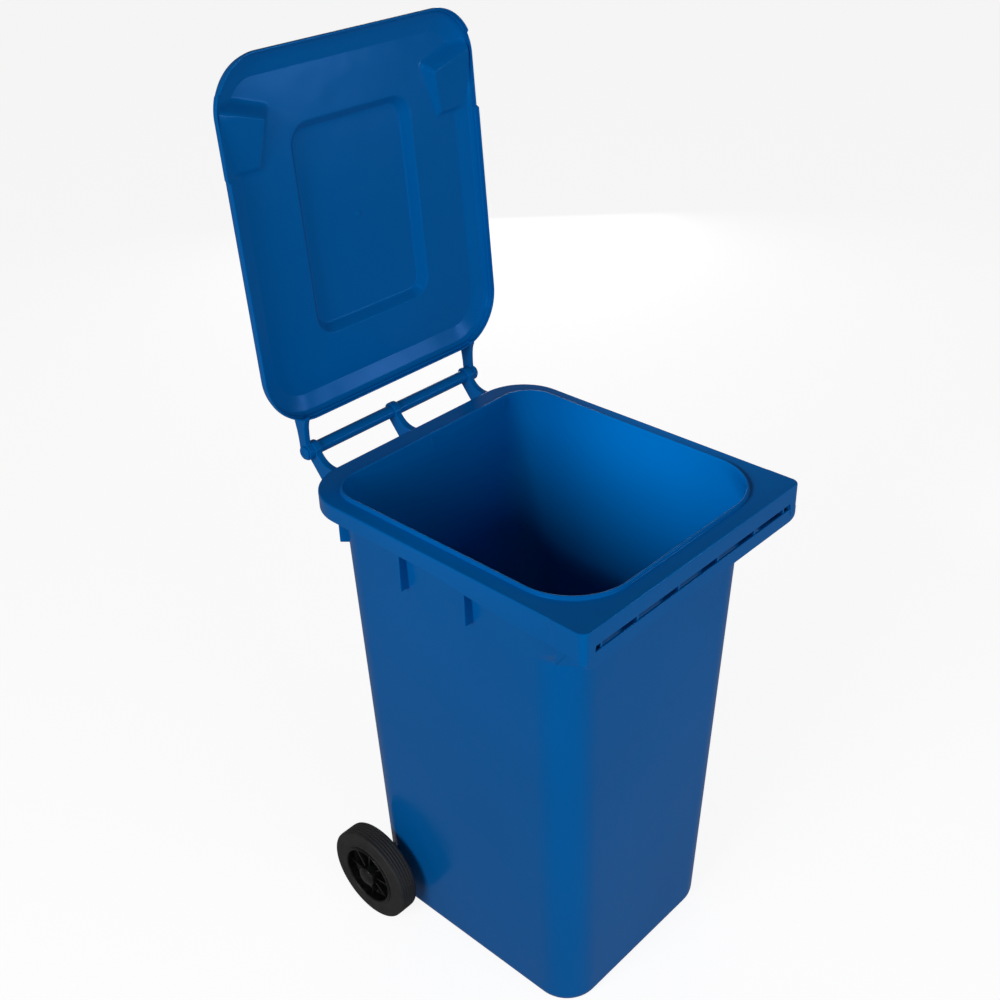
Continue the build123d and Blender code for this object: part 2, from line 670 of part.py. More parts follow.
def hub_cap(side):
    """Domed cap pushed into the end of the hub, over the axle's end."""
    outer = HUB_OUTER_END + CAP_LIP
    inner_radius = HUB_COUNTERBORE_RADIUS - CAP_SKIRT
    return turned(
        [
            (HUB_OUTER_END - CAP_SKIRT_LENGTH, inner_radius),
            (HUB_OUTER_END - CAP_SKIRT_LENGTH, HUB_COUNTERBORE_RADIUS),
            (HUB_OUTER_END, HUB_COUNTERBORE_RADIUS),
            (HUB_OUTER_END, HUB_RADIUS),
            (HUB_OUTER_END + CAP_LIP / 2, HUB_RADIUS),
            (outer, HUB_RADIUS - CAP_LIP),
            (outer + CAP_DOME / 2, HUB_RADIUS - 3 * CAP_LIP),
            (outer + CAP_DOME, 0),
            (outer, 0),
            (outer, inner_radius),
        ],
        side,
    )


def ring(inner_radius, outer_radius, x0, x1, side):
    """Plain ring on the axle."""
    return turned(
        [(x0, inner_radius), (x0, outer_radius), (x1, outer_radius), (x1, inner_radius)], side
    )


def push_nut(side):
    """Toothed steel cap pressed on the axle's end, which keeps the wheel on."""
    return ring(AXLE_DIAMETER / 2, NUT_RADIUS, NUT_INNER_FACE, NUT_INNER_FACE + NUT_THICKNESS, side)


def washer(side):
    """Steel washer between the spacer and the hub."""
    outer = HUB_INNER_END - NUT_GAP
    return ring(
        AXLE_DIAMETER / 2 + AXLE_RING_FIT, WASHER_RADIUS, outer - WASHER_THICKNESS, outer, side
    )


def spacer(side):
    """Plastic sleeve on the axle between the bin's side and the washer."""
    outer = HUB_INNER_END - NUT_GAP - WASHER_THICKNESS
    inner = BASE_HALF_WIDTH + CHEEK_BOSS_REACH
    return ring(AXLE_DIAMETER / 2 + AXLE_RING_FIT, SPACER_RADIUS, inner, outer, side)


# ---- write one file for each piece ----------------------------------------------------
SIDES = {"left": -1, "right": 1}
SIDE_PIECES = {
    "hinge_pin": hinge_pin,
    "tyre": tyre,
    "wheel_rim": wheel_rim,
    "hub_cap": hub_cap,
    "push_nut": push_nut,
    "axle_washer": washer,
    "axle_spacer": spacer,
}


def main():
    os.makedirs("parts", exist_ok=True)
    pieces = {
        "body_shell": body_shell(),
        "handle_bar": handle_bar(),
        "lid": lid(),
        "axle": axle(),
    }
    for side_name, side in SIDES.items():
        for piece_name, make in SIDE_PIECES.items():
            pieces[f"{piece_name}_{side_name}"] = make(side)
    for name, shape in pieces.items():
        shape.label = name
        export_step(shape, f"parts/{name}.step")


main()
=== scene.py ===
import json
from math import pi, radians

import bmesh
import bpy
import numpy as np
from mathutils import Matrix, Vector


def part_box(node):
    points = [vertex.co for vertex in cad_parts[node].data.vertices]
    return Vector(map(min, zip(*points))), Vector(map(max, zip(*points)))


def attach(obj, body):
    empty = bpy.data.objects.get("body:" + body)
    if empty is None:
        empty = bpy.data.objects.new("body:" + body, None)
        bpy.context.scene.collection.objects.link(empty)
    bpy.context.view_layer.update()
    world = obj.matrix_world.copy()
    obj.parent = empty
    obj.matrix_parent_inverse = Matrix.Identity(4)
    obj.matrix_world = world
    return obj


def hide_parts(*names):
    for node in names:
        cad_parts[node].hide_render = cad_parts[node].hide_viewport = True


bl_info = {
    "name": "Wheelie bin",
    "version": (1, 0, 0),
    "blender": (4, 5, 0),
    "location": "3D View > Sidebar > Wheelie bin",
    "description": "Makes the visible pieces of a two-wheeled refuse bin round its CAD frame",
    "category": "Add Mesh",
}

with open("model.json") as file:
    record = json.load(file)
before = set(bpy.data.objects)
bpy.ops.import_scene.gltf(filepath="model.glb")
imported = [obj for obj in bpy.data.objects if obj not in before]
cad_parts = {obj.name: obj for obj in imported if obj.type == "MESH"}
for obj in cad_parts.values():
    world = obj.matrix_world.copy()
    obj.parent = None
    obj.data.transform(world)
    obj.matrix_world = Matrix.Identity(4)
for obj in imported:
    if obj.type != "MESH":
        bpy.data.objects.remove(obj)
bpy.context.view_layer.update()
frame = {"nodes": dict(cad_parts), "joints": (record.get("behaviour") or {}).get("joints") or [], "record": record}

# ---- places read from the frame, in metres ---------------------------------------------
JOINTS = {joint["name"]: joint for joint in frame["joints"]}
HINGE_Y, HINGE_Z = JOINTS["lid_hinge"]["pos_m"][1:]
AXLE_Y, AXLE_Z = JOINTS["wheel_left_spin"]["pos_m"][1:]
SHELL_LOW, SHELL_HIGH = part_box("body_shell")
RIM_HALF = SHELL_HIGH.x
RIM_FRONT = SHELL_LOW.y
LUG_HIGH = SHELL_HIGH.z
TYRE_LOW, TYRE_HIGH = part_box("tyre_right")
WHEEL_RADIUS = (TYRE_HIGH.z - TYRE_LOW.z) / 2
PIN_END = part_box("hinge_pin_right")[1].x
CAP_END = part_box("hub_cap_right")[1].x
LID_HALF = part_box("lid")[1].x

# ---- sizes of the moulding, in metres -------------------------------------------------
HINGE_BEHIND_RIM = 0.0575
HINGE_ABOVE_RIM = 0.0175
RIM_REAR = HINGE_Y - HINGE_BEHIND_RIM
RIM_TOP = HINGE_Z - HINGE_ABOVE_RIM
BASE_FRONT = RIM_FRONT + 0.088
REAR_WALL = RIM_REAR - 0.049
BASE_HALF = 0.217
LEAN_SIDE = 0.043
LEAN_FRONT = 0.028
BODY_FRONT_RADIUS = 0.070
BODY_REAR_RADIUS = 0.065
SHELL_TOP = RIM_TOP - 0.072
FOOT_HEIGHT = 0.014
FOOT_INSET = 0.012
FLOOR_TOP = 0.014
FLOOR_UNDER = 0.010
FOOT_RING = 0.026
TUNNEL_HALF = BASE_HALF - BODY_REAR_RADIUS / 2
TUNNEL_FRONT = AXLE_Y - 0.046
TUNNEL_TOP = AXLE_Z + 0.038
WALL_BESIDE_MOUTH = 0.004
MOUTH_HALF = 0.256
MOUTH_FRONT = RIM_FRONT + 0.036
MOUTH_REAR = RIM_REAR - 0.050
MOUTH_FRONT_RADIUS = 0.110
MOUTH_REAR_RADIUS = 0.060
RIM_FRONT_RADIUS = 0.013
RIM_REAR_RADIUS = 0.095
FOOT_INNER_ROUNDING = 0.001
FOOT_ROUNDING = 0.005
BASE_ROUNDING = 0.010
COMB_WALL_ROUNDING = (0.010, 0.006)
COMB_WALL_INNER_ROUNDING = (0.020, 0.025)
SKIRT_ROOT_ROUNDING = 0.002
SKIRT_EDGE_ROUNDING = 0.0012
LIP_ROOT_ROUNDING = 0.003
LIP_ROUNDING = 0.0018
THROAT_ROUNDING = 0.012
STEP_ROUNDING = (0.012, 0.010)
FLOOR_ROUNDING = 0.018
FLOOR_RING_WALLS = 8          # the floor's last ring lies this many wall thicknesses in
BAND_DROP = 0.033
SLOT_DROP = 0.0445
BAR_DROP = 0.072
BAR_END = 0.005           # from each end of the lower bar to the rim's side
BAR_SET_BACK = 0.001
BAR_WALL = 0.004
BAR_END_RADIUS = 0.022
BAR_CORNER = 0.002
BAR_EDGE = 0.0012
CORNER_BLOCK = 0.024      # width of the closed block at each end of the slot
CORNER_BLOCK_DROP = 0.059
COMB_WALL_FOOT = 0.088    # the tub's front wall stands forward down to here below the rim
COMB_WALL_BEND = 0.034    # and leans back to the plain wall over this height
COMB_WALL_RADIUS = 0.042
SKIRT_FRONT_DROP = 0.050
SKIRT_REAR_DROP = 0.032
SKIRT_STEP = (RIM_FRONT + 0.145, RIM_FRONT + 0.345)
CORNER_SWELL_REACH = 0.060
CORNER_SWELL = 0.0009     # the rim's sides stand this much proud next to the front
CORNER_SWELL_FADE = 0.004
CORNER_SWELL_DEPTH = 0.020
RIB = 0.005
RIB_TOP = RIM_TOP - 0.003 # ribs and lugs end inside the flange
RIB_CORNER = 0.001
RIB_EDGE = 0.001
SKIN_BITE = 0.002         # how far a rib's root runs into a wall
SIDE_RIB_PLACES = (RIM_FRONT + 0.267, RIM_FRONT + 0.418)
SKIRT_RIB_REACH = 0.013
SKIRT_RIB_DROP = 0.122
SKIRT_RIB_TIP = 0.0025
CORNER_RIB_DROP = 0.107
CORNER_RIB_FOOT = 0.018
CORNER_RIB_HEAD = 0.015
CORNER_RIB_CORNER = 0.0015
COMB_RIBS = 6
COMB_RIB_SIDE = 0.020     # from each end of the bar to the outermost ribs
COMB_RIB_LIFT = 0.001
COMB_RIB_TAPER = 0.038    # how far a rib's lower edge falls on its way to the wall
COMB_RIB_EDGE = 0.0008
COMB_END_RIB = 0.247      # half width of one more rib by each end, past the front wall's corner
COMB_END_RIB_TAPER = 0.054
LUG_SPANS = ((-0.204, -0.190), (-0.007, 0.007), (0.190, 0.204))
LUG_RADIUS = LUG_HIGH - HINGE_Z
LUG_EYE_TURN = (195, -39)     # degrees round the eye, over its top
LUG_SLOPE = radians(51)
LUG_DROP = 0.125
LUG_HOLLOW_START = 0.004
LUG_HOLLOW_PULL = (0.026, -0.0085)
LUG_EDGE = 0.0015
LUG_BOSS_PROUD = 0.0012
LUG_BOSS_STEP = 0.0015
BASE_RIB = 0.008
WEB_PLACE = 0.075
WEB_SET_IN = 0.004
WEB_CORNERS = (0.004, 0.012, 0.004, 0.004)
AXLE_BOSS = ((-0.004, 0.0103), (0.005, 0.0103), (0.005, 0.024), (-0.004, 0.026))
AXLE_BOSS_ROUNDING = 0.0012
HANDLE_RADIUS = 0.012
HANDLE_BORE = 0.007
HANDLE_ROUNDING = 0.0008
ARM_SPAN = (0.2045, 0.2165)
ARM_RADIUS = 0.015
ARM_EDGE = 0.0014
PIN_HEAD_RADIUS = 0.0125
PIN_RADIUS = 0.0065
PIN_GAP = 0.0004              # between a pin's head and the lid's arm

# ---- sizes of the lid, in its own closed frame: the hinge is the origin, -Y its front ---
LID_OPEN = radians(94)
LID_FRONT = -0.6935
LID_REAR = -0.062
LID_EDGE = -0.014
LID_FRONT_RADIUS = 0.092
LID_REAR_RADIUS = 0.100
PANEL_HALF = 0.136
PANEL_FRONT = -0.562
PANEL_REAR = -0.190
PANEL_RADIUS = 0.040
PANEL_SLOPE = 0.014
PANEL_TOP_RING = 0.012
PANEL_CORNER = 0.003
PANEL_RISE = 0.015
LID_BORDER = 0.040
LID_CREASE = 0.0015
LID_FLAT = 0.026              # the border's inner face, above the skirt's edge
LID_SHOULDER = 0.0185
LID_SHOULDER_IN = 0.005
LID_SHOULDER_CORNER = 0.004
SKIRT_SET_IN = 0.0025         # the skirt's wall stands this far in from the bead along its edge
SKIRT_TOP = 0.013
BEAD_HEIGHT = 0.0080
BEAD_SHIFT = 0.0008
BEAD_STEP = 0.0012
BEAD_ROUNDING = (0.0008, 0.0008, 0.0010, 0.0010, 0.0012, 0.0010)
GRIP_FLOOR_FRONT = 0.0085
GRIP_FLOOR_REAR = 0.020
GRIP_FLOOR_SPAN = (0.512, 0.600)
GRIP_FRONT = 0.523            # reach of a recess's front edge on the lid's middle line
GRIP_FRONT_SLANT = 1 / 3
GRIP_FRONT_CLIMB = 0.8075
GRIP_INNER = (0.189, 0.586)   # half width and reach of the inner edge's front end
GRIP_INNER_SLANT = 0.22
GRIP_INNER_CLIMB = 1.47
GRIP_REAR_CLIMB = 1.1
GRIP_SOFTNESS = 0.004
GRIP_SPAN = (0.510, 0.640)    # reach of a hand recess along the lid's side
GRIP_SPAN_FADE = 0.004
GRIP_SIDE = (0.050, 0.030)
GRIP_EDGE_RISE = 0.006        # the skirt's edge is cut back by this much there
ARM_EYE_TURN = (-160, 110)    # degrees round an arm's eye
ARM_UPPER = (
    ((-0.022, 0.0125), (-0.045, 0.0150)),
    ((-0.046, 0.0152), (-0.066, 0.0185), (-0.080, 0.0175)),
    ((-0.082, 0.0172), (-0.094, 0.0145), (-0.104, 0.0125)),
)
ARM_ROOT = ((-0.070, LID_EDGE + 0.020), (-0.0705, LID_EDGE + 0.001))
ARM_LOWER = (
    ((-0.064, LID_EDGE + 0.0005), (-0.056, -0.0085), (-0.042, -0.0068)),
    ((-0.040, -0.0066), (-0.024, -0.0046)),
)
GATE_RADII = (0.0075, 0.0060, 0.0035, 0.0018, 0.0006)
GATE_HEIGHTS = (0.0002, -0.0007, -0.0009, -0.0016, -0.0010)

# ---- sizes of the pins and wheels; a corner is (x, radius) or (x, radius, rounding) -------
PIN_SHANK = (
    (0.148, 0.0, 0), (0.148, PIN_RADIUS, 0.0008), (0.169, PIN_RADIUS, 0.0002),
    (0.169, 0.007, 0.0002), (0.204, 0.007, 0.0002), (0.204, PIN_RADIUS, 0.0002),
)
PIN_HEAD = (
    (-0.0015, PIN_HEAD_RADIUS, 0.0012), (0.0, 0.0085, 0.002), (0.0, 0.0045, 0.0008),
    (-0.0015, 0.0035, 0.0006), (-0.0015, 0.0, 0),
)
PIN_ROUNDING = (0.0004, 0.001)
TYRE_BORE = 0.064
TYRE_LIP = (0.004, 0.006)     # heights above the bore where the sidewall's hollow starts
TYRE_BAND = (0.018, 0.014)    # depths below the tread where it ends
TYRE_HOLLOW = 0.0015
TYRE_CROWN = 0.0005
TREAD_GROOVES = (-0.0125, -0.0062, 0.0, 0.0062, 0.0125)
GROOVE_TOP = 0.0013
GROOVE_FLOOR = 0.0008
BARREL_BORE = 0.060
BARREL_SEAT = 0.0638          # radius under the tyre
BARREL_LIP = 0.0662
BARREL_PROUD = 0.002
BARREL_LIP_STEPS = (0.0002, 0.001)
BARREL_ROUNDING = 0.0007
DISC_PROFILE = (
    (-0.002, 0.018), (0.002, 0.018), (0.002, 0.056), (0.006, 0.0605), (-0.006, 0.0605), (-0.002, 0.056),
)
DISC_ROUNDING = 0.001
HUB_BORE = 0.0101
HUB_RADII = (0.021, 0.0215, 0.0205)
HUB_ENDS = (0.005, 0.004)     # how far it stands out of the tyre, inside and outside
CAP_SOCKET = (0.009, 0.0157)
HUB_ROUNDING = 0.0009
RIM_BEAD = ((0.0012, 0.0612), (0.0032, 0.0622), (0.0032, 0.0634), (0.0012, 0.0644))
RIM_BEAD_ROUNDING = 0.0006
SPOKES = 8
SPOKE = 0.0032
SPOKE_EDGE = 0.0007
SPOKE_HALF_DEPTH = 0.0165
SPOKE_NARROWING = 0.003
SPOKE_SPAN = (0.019, 0.0608)
SPOKE_CORNERS = (0.001, 0.001, 0.003, 0.003)
CAP_SKIRT = (
    (-0.005, 0.0135, 0), (-0.005, 0.0155, 0.0003), (0.0, 0.0155, 0.0003), (0.0, 0.0208, 0.0006),
    (0.0018, 0.0208, 0.0010), (0.0030, 0.0185, 0.0012),
)
CAP_DOME = ((-0.0012, 0.0125, 0.0060), (0.0, 0.0, 0))
CAP_INSIDE = ((0.0015, 0.0, 0), (0.0015, 0.0135, 0))

SIDES = {"left": -1, "right": 1}

# ---- colours, as sRGB hex ---------------------------------------------------------------
BLUE_HEX = "#0066B4"
BLUE_DEEP_HEX = "#0062AE"
SHEEN_HEX = "#1C90FF"
RUBBER_HEX = "#1B1B1C"
RUBBER_DUST_HEX = "#2C2B29"
BLACK_HEX = "#0A0B0C"
BLACK_WORN_HEX = "#141517"
ZINC_HEX = "#B8BABC"
FLOOR_HEX = "#7A7A7A"

# ---- how finely surfaces are cut ----------------------------------------------------------
BODY_COUNTS = (60, 16, 70, 8, 30)     # points along an outline's front, corner, side, flank, rear
LID_COUNTS = (34, 30, 120, 1, 34)
BORDER_RINGS = 34
SHOULDER_RINGS = 8
CORNER_STEPS = 5
LID_CORNER_STEPS = 4
TYRE_CORNER_STEPS = 7
CURVE_STEPS = 12
LUG_EYE_STEPS = 40
ARM_EYE_STEPS = 44
GATE_TURN = 40
THIN_TURN = 64                        # points round the tube, the pins and the lugs' bosses
BOSS_TURN = 72
CAP_TURN = 96
WHEEL_TURN = 120
TYRE_TURN = 160
LONGEST_CUT = 0.45                    # share of a side that a rounded corner may take
LONGEST_FLAT_CUT = 0.48
SHARP = radians(50)
MERGE = 1e-6
ALONG_X = (1, 2, 0)                   # axes of a plate's outline, then of its thickness
ALONG_Y = (0, 2, 1)


def linear(hex_colour):
    """Linear colour of an sRGB hex value: ((c + 0.055) / 1.055) ^ 2.4, or c / 12.92 when dark."""
    srgb = np.array([int(hex_colour[i:i + 2], 16) / 255 for i in (1, 3, 5)])
    return tuple(np.where(srgb <= 0.04045, srgb / 12.92, ((srgb + 0.055) / 1.055) ** 2.4))


# ---- surfaces ---------------------------------------------------------------------------
def run(start, end, count):
    """Even steps from start, up to but not at end."""
    return np.linspace(start, end, count, endpoint=False)


def outline(half, front, rear, front_radius, rear_radius, counts, notch=None):
    """Rounded rectangle seen from above, counter-clockwise from the middle of its front.

    Straight runs are evenly spaced. A front corner is centre + r (sin a, -cos a) and a rear
    one centre + r (cos a, sin a), for a from 0 to 90 degrees. notch = (half width, y) stops
    the rear corner at that half width, runs forward to y and crosses there; along the rear
    x = x0 cos(t 90 degrees). The left half mirrors the right.
    """
    n_front, n_corner, n_side, n_flank, n_rear = counts
    angle = run(0, pi / 2, n_corner)
    x_front = half - front_radius
    x_rear = half - rear_radius
    across = notch[0] if notch else x_rear
    stop = np.arccos(np.clip((across - x_rear) / rear_radius, 0, 1))
    turn = run(0, stop, n_corner)
    x0 = x_rear + rear_radius * np.cos(stop)
    y0 = rear - rear_radius + rear_radius * np.sin(stop)
    x_back = x0 * np.cos(np.linspace(0, pi / 2, n_rear))
    bulge = np.clip(x_back - x_rear, 0, rear_radius)
    y_back = rear - rear_radius + np.sqrt(rear_radius ** 2 - bulge ** 2)
    y_flank = y0
    if notch and notch[1] is not None:
        y_back = np.full(n_rear, notch[1])
        y_flank = notch[1]
    right = np.concatenate([
        np.c_[run(0, x_front, n_front), np.full(n_front, front)],
        np.c_[x_front + front_radius * np.sin(angle), front + front_radius * (1 - np.cos(angle))],
        np.c_[np.full(n_side, half), run(front + front_radius, rear - rear_radius, n_side)],
        np.c_[x_rear + rear_radius * np.cos(turn), rear - rear_radius + rear_radius * np.sin(turn)],
        np.c_[np.full(n_flank, x0), run(y0, y_flank, n_flank)],
        np.c_[x_back, y_back],
    ])
    return np.concatenate([right, right[-2:0:-1] * (-1, 1)])


def at_height(flat, z):
    """Outline points with a height, which may be one number or one for each point."""
    return np.c_[flat, np.broadcast_to(z, len(flat))]


def rounded(rings, cuts, steps=CORNER_STEPS):
    """Rings joined into one sheet, with the corner at each ring rounded off.

    For a ring P with cut c, A and B lie c before and after P along the sheet, and the corner is
    the curve (1-t)^2 A + 2t(1-t) P + t^2 B. A cut is never over LONGEST_CUT of the way
    to a neighbour.
    """
    rows = [rings[0][None]]
    for before, here, after, cut in zip(rings, rings[1:], rings[2:], cuts[1:]):
        if not cut:
            rows.append(here[None])
            continue
        ends = []
        for other in (before, after):
            way = other - here
            length = np.maximum(np.linalg.norm(way, axis=1, keepdims=True), MERGE)
            ends.append(here + way * np.minimum(cut / length, LONGEST_CUT))
        t = np.linspace(0, 1, steps)[:, None, None]
        rows.append((1 - t) ** 2 * ends[0] + 2 * t * (1 - t) * here + t ** 2 * ends[1])
    rows.append(rings[-1][None])
    return np.concatenate(rows)


def sheet_mesh(name, rows, caps=True, loop_rows=False, tidy_normals=False):
    """Closed mesh from rows of points: row i, point j joins row i+1 and point j+1.

    Each row is a closed ring. caps fills the first and last ring; loop_rows joins the last row
    to the first instead."""
    count, width = rows.shape[:2]
    i = np.arange(count if loop_rows else count - 1)[:, None]
    j = np.arange(width)[None, :]
    up, along = (i + 1) % count, (j + 1) % width
    quads = np.stack(
        [i * width + j, i * width + along, up * width + along, up * width + j], axis=-1
    ).reshape(-1, 4).tolist()
    if caps and not loop_rows:
        quads.append(list(range(width))[::-1])
        quads.append(list(range((count - 1) * width, count * width)))
    mesh = bpy.data.meshes.new(name)
    mesh.from_pydata(rows.reshape(-1, 3), [], quads)
    clean(mesh, tidy_normals)
    return mesh


def clean(mesh, tidy_normals):
    """Merges points that meet, drops faces with no area and shades the mesh smooth."""
    work = bmesh.new()
    work.from_mesh(mesh)
    bmesh.ops.remove_doubles(work, verts=work.verts, dist=MERGE)
    bmesh.ops.dissolve_degenerate(work, edges=work.edges, dist=MERGE)
    if tidy_normals:
        bmesh.ops.recalc_face_normals(work, faces=work.faces)
    work.to_mesh(mesh)
    work.free()
    mesh.shade_smooth()
    mesh.set_sharp_from_angle(angle=SHARP)


def joined(name, meshes):
    """One mesh from several."""
    work = bmesh.new()
    for mesh in meshes:
        work.from_mesh(mesh)
        bpy.data.meshes.remove(mesh)
    whole = bpy.data.meshes.new(name)
    work.to_mesh(whole)
    work.free()
    whole.shade_smooth()
    whole.set_sharp_from_angle(angle=SHARP)
    return whole


def soft_polygon(points, cuts, steps=8):
    """Closed flat outline with each corner P replaced by (1-t)^2 A + 2t(1-t) P + t^2 B.

    A and B lie the corner's cut away from P along its two sides."""
    corners = np.array(points, float)
    cuts = np.broadcast_to(np.array(cuts, float), len(corners))[:, None]
    ends = []
    for shift in (1, -1):
        way = np.roll(corners, shift, axis=0) - corners
        length = np.linalg.norm(way, axis=1, keepdims=True)
        ends.append(corners + way * np.minimum(cuts / length, LONGEST_FLAT_CUT))
    t = np.linspace(0, 1, steps)[None, :, None]
    a, b = ends[0][:, None], ends[1][:, None]
    return ((1 - t) ** 2 * a + 2 * t * (1 - t) * corners[:, None] + t ** 2 * b).reshape(-1, 2)


def plate_mesh(name, flat, low, high, edge, frame_axes):
    """Plate of a flat outline between two planes, with both its edges rounded.

    A point is flat - e (1 - sin a) n at height low + e (1 - cos a), for a from 0 to 90 degrees,
    then the same backwards below high; n is the outline's outward normal. frame_axes says
    which row axes the outline's two directions and the height lie along.
    """
    way = np.roll(flat, -1, axis=0) - np.roll(flat, 1, axis=0)
    area = np.sum(flat[:, 0] * np.roll(flat[:, 1], -1) - flat[:, 1] * np.roll(flat[:, 0], -1))
    normal = np.sign(area) * np.c_[way[:, 1], -way[:, 0]]
    normal /= np.maximum(np.linalg.norm(normal, axis=1, keepdims=True), MERGE)
    angle = np.linspace(0, pi / 2, CORNER_STEPS)
    inset = edge * (1 - np.sin(angle))
    rise = edge * (1 - np.cos(angle))
    levels = np.concatenate([low + rise, (high - rise)[::-1]])
    insets = np.concatenate([inset, inset[::-1]])
    rows = np.zeros((len(levels), len(flat), 3))
    shifted = flat[None] - insets[:, None, None] * normal[None]
    rows[..., frame_axes[0]] = shifted[..., 0]
    rows[..., frame_axes[1]] = shifted[..., 1]
    rows[..., frame_axes[2]] = levels[:, None]
    return sheet_mesh(name, rows, tidy_normals=True)


def soft_profile(corners, steps=8):
    """Soft outline from (x, radius, rounding) corners."""
    return soft_polygon([corner[:2] for corner in corners], [corner[2] for corner in corners], steps)


def side_plate(name, flat, span, edge):
    """Plate whose outline is (y, z) and whose thickness runs along X."""
    return plate_mesh(name, flat, min(span), max(span), edge, ALONG_X)


def turned_mesh(name, profile, y, z, steps, side=1):
    """Closed profile (x, r) turned about the X axis at (y, z): (x, r cos a, r sin a)."""
    angle = run(0, 2 * pi, steps)[:, None]
    x, r = profile[None, :, 0], profile[None, :, 1]
    rows = np.stack([
        np.broadcast_to(side * x, (steps, len(profile))),
        y + r * np.cos(angle),
        z + r * np.sin(angle),
    ], axis=-1)
    return sheet_mesh(name, rows, loop_rows=True, tidy_normals=True)


def arc(centre, radius, start, end, count):
    """Points (y, z) = centre + r (cos a, sin a), a from start to end degrees."""
    a = np.radians(np.linspace(start, end, count))
    return np.c_[centre[0] + radius * np.cos(a), centre[1] + radius * np.sin(a)]


def curve(start, pull, end, count=CURVE_STEPS):
    """Points (1-t)^2 start + 2t(1-t) pull + t^2 end."""
    t = np.linspace(0, 1, count)[:, None]
    start, pull, end = (np.array(point, float) for point in (start, pull, end))
    return (1 - t) ** 2 * start + 2 * t * (1 - t) * pull + t ** 2 * end


def ramp(value, start, end):
    """0 at start, 1 at end, and t^2 (3 - 2t) between."""
    t = np.clip((value - start) / (end - start), 0, 1)
    return t * t * (3 - 2 * t)


def soft_min(a, b, radius):
    """The lower of two heights, rounded where they cross: min - h^2 r / 4, h = 1 - |a-b| / r."""
    h = np.clip(1 - np.abs(a - b) / radius, 0, 1)
    return np.minimum(a, b) - h * h * radius / 4


# ---- pieces -----------------------------------------------------------------------------
def add_piece(mesh, body, material, replaced=()):
    """Puts a finished mesh in the scene on its body, with its finish."""
    piece = bpy.data.objects.new(mesh.name, mesh)
    bpy.context.scene.collection.objects.link(piece)
    mesh.materials.clear()
    mesh.materials.append(material)
    weights = piece.modifiers.new("Weighted normals", "WEIGHTED_NORMAL")
    weights.keep_sharp = True
    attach(piece, body)
    if replaced:
        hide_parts(*replaced)
    return piece


def body_outline(z, inset=0.0, rear=REAR_WALL, notch_y=None):
    """Outside of the leaning shell at height z, moved in by inset."""
    lean = z / RIM_TOP
    return at_height(outline(
        BASE_HALF + LEAN_SIDE * lean - inset,
        BASE_FRONT - LEAN_FRONT * lean + inset,
        rear - inset,
        BODY_FRONT_RADIUS - inset,
        BODY_REAR_RADIUS - inset,
        BODY_COUNTS,
        (TUNNEL_HALF, notch_y),
    ), z)


def mouth_outline(z, grow=0.0):
    """Mouth of the bin at height z, moved out by grow."""
    return at_height(outline(
        MOUTH_HALF + grow, MOUTH_FRONT - grow, MOUTH_REAR + grow,
        MOUTH_FRONT_RADIUS + grow, MOUTH_REAR_RADIUS + grow, BODY_COUNTS, (TUNNEL_HALF, None),
    ), z)


def comb_wall(z, inset=0.0):
    """Tub where its front wall stands forward, level with the mouth, behind the comb's bar."""
    return at_height(outline(
        BASE_HALF + LEAN_SIDE * z / RIM_TOP - inset,
        MOUTH_FRONT - WALL_BESIDE_MOUTH + inset,
        REAR_WALL - inset,
        COMB_WALL_RADIUS - inset,
        BODY_REAR_RADIUS - inset,
        BODY_COUNTS,
        (TUNNEL_HALF, None),
    ), z)


def rim_outline(z, inset=0.0):
    """Outside of the rim, moved in by inset; the sides swell a little next to the front."""
    flat = outline(
        RIM_HALF - inset, RIM_FRONT + inset, RIM_REAR - inset,
        max(RIM_FRONT_RADIUS - inset, RIM_FRONT_RADIUS / 2), RIM_REAR_RADIUS - inset,
        BODY_COUNTS, (TUNNEL_HALF, None),
    )
    behind = flat[:, 1] - RIM_FRONT
    swell = CORNER_SWELL * (
        1 - ramp(behind, CORNER_SWELL_REACH, CORNER_SWELL_REACH + CORNER_SWELL_FADE)
    )
    outermost = ramp(np.abs(flat[:, 0]), RIM_HALF - CORNER_SWELL_DEPTH, RIM_HALF)
    flat[:, 0] += np.sign(flat[:, 0]) * swell * outermost
    return at_height(flat, z)


def skirt_bottom(ring):
    """Height of the skirt's lower edge round the rim: highest across the comb's front band."""
    x, y = np.abs(ring[:, 0]), ring[:, 1]
    drop = SKIRT_FRONT_DROP + (SKIRT_REAR_DROP - SKIRT_FRONT_DROP) * np.clip(
        (y - SKIRT_STEP[0]) / (SKIRT_STEP[1] - SKIRT_STEP[0]), 0, 1
    )
    near = ramp(RIM_FRONT + CORNER_BLOCK - y, 0, CORNER_BLOCK / 2)
    drop = drop + (CORNER_BLOCK_DROP - drop) * near
    front = (x < RIM_HALF - CORNER_BLOCK) & (y < RIM_FRONT + RIM_FRONT_RADIUS)
    return RIM_TOP - np.where(front, BAND_DROP, drop)


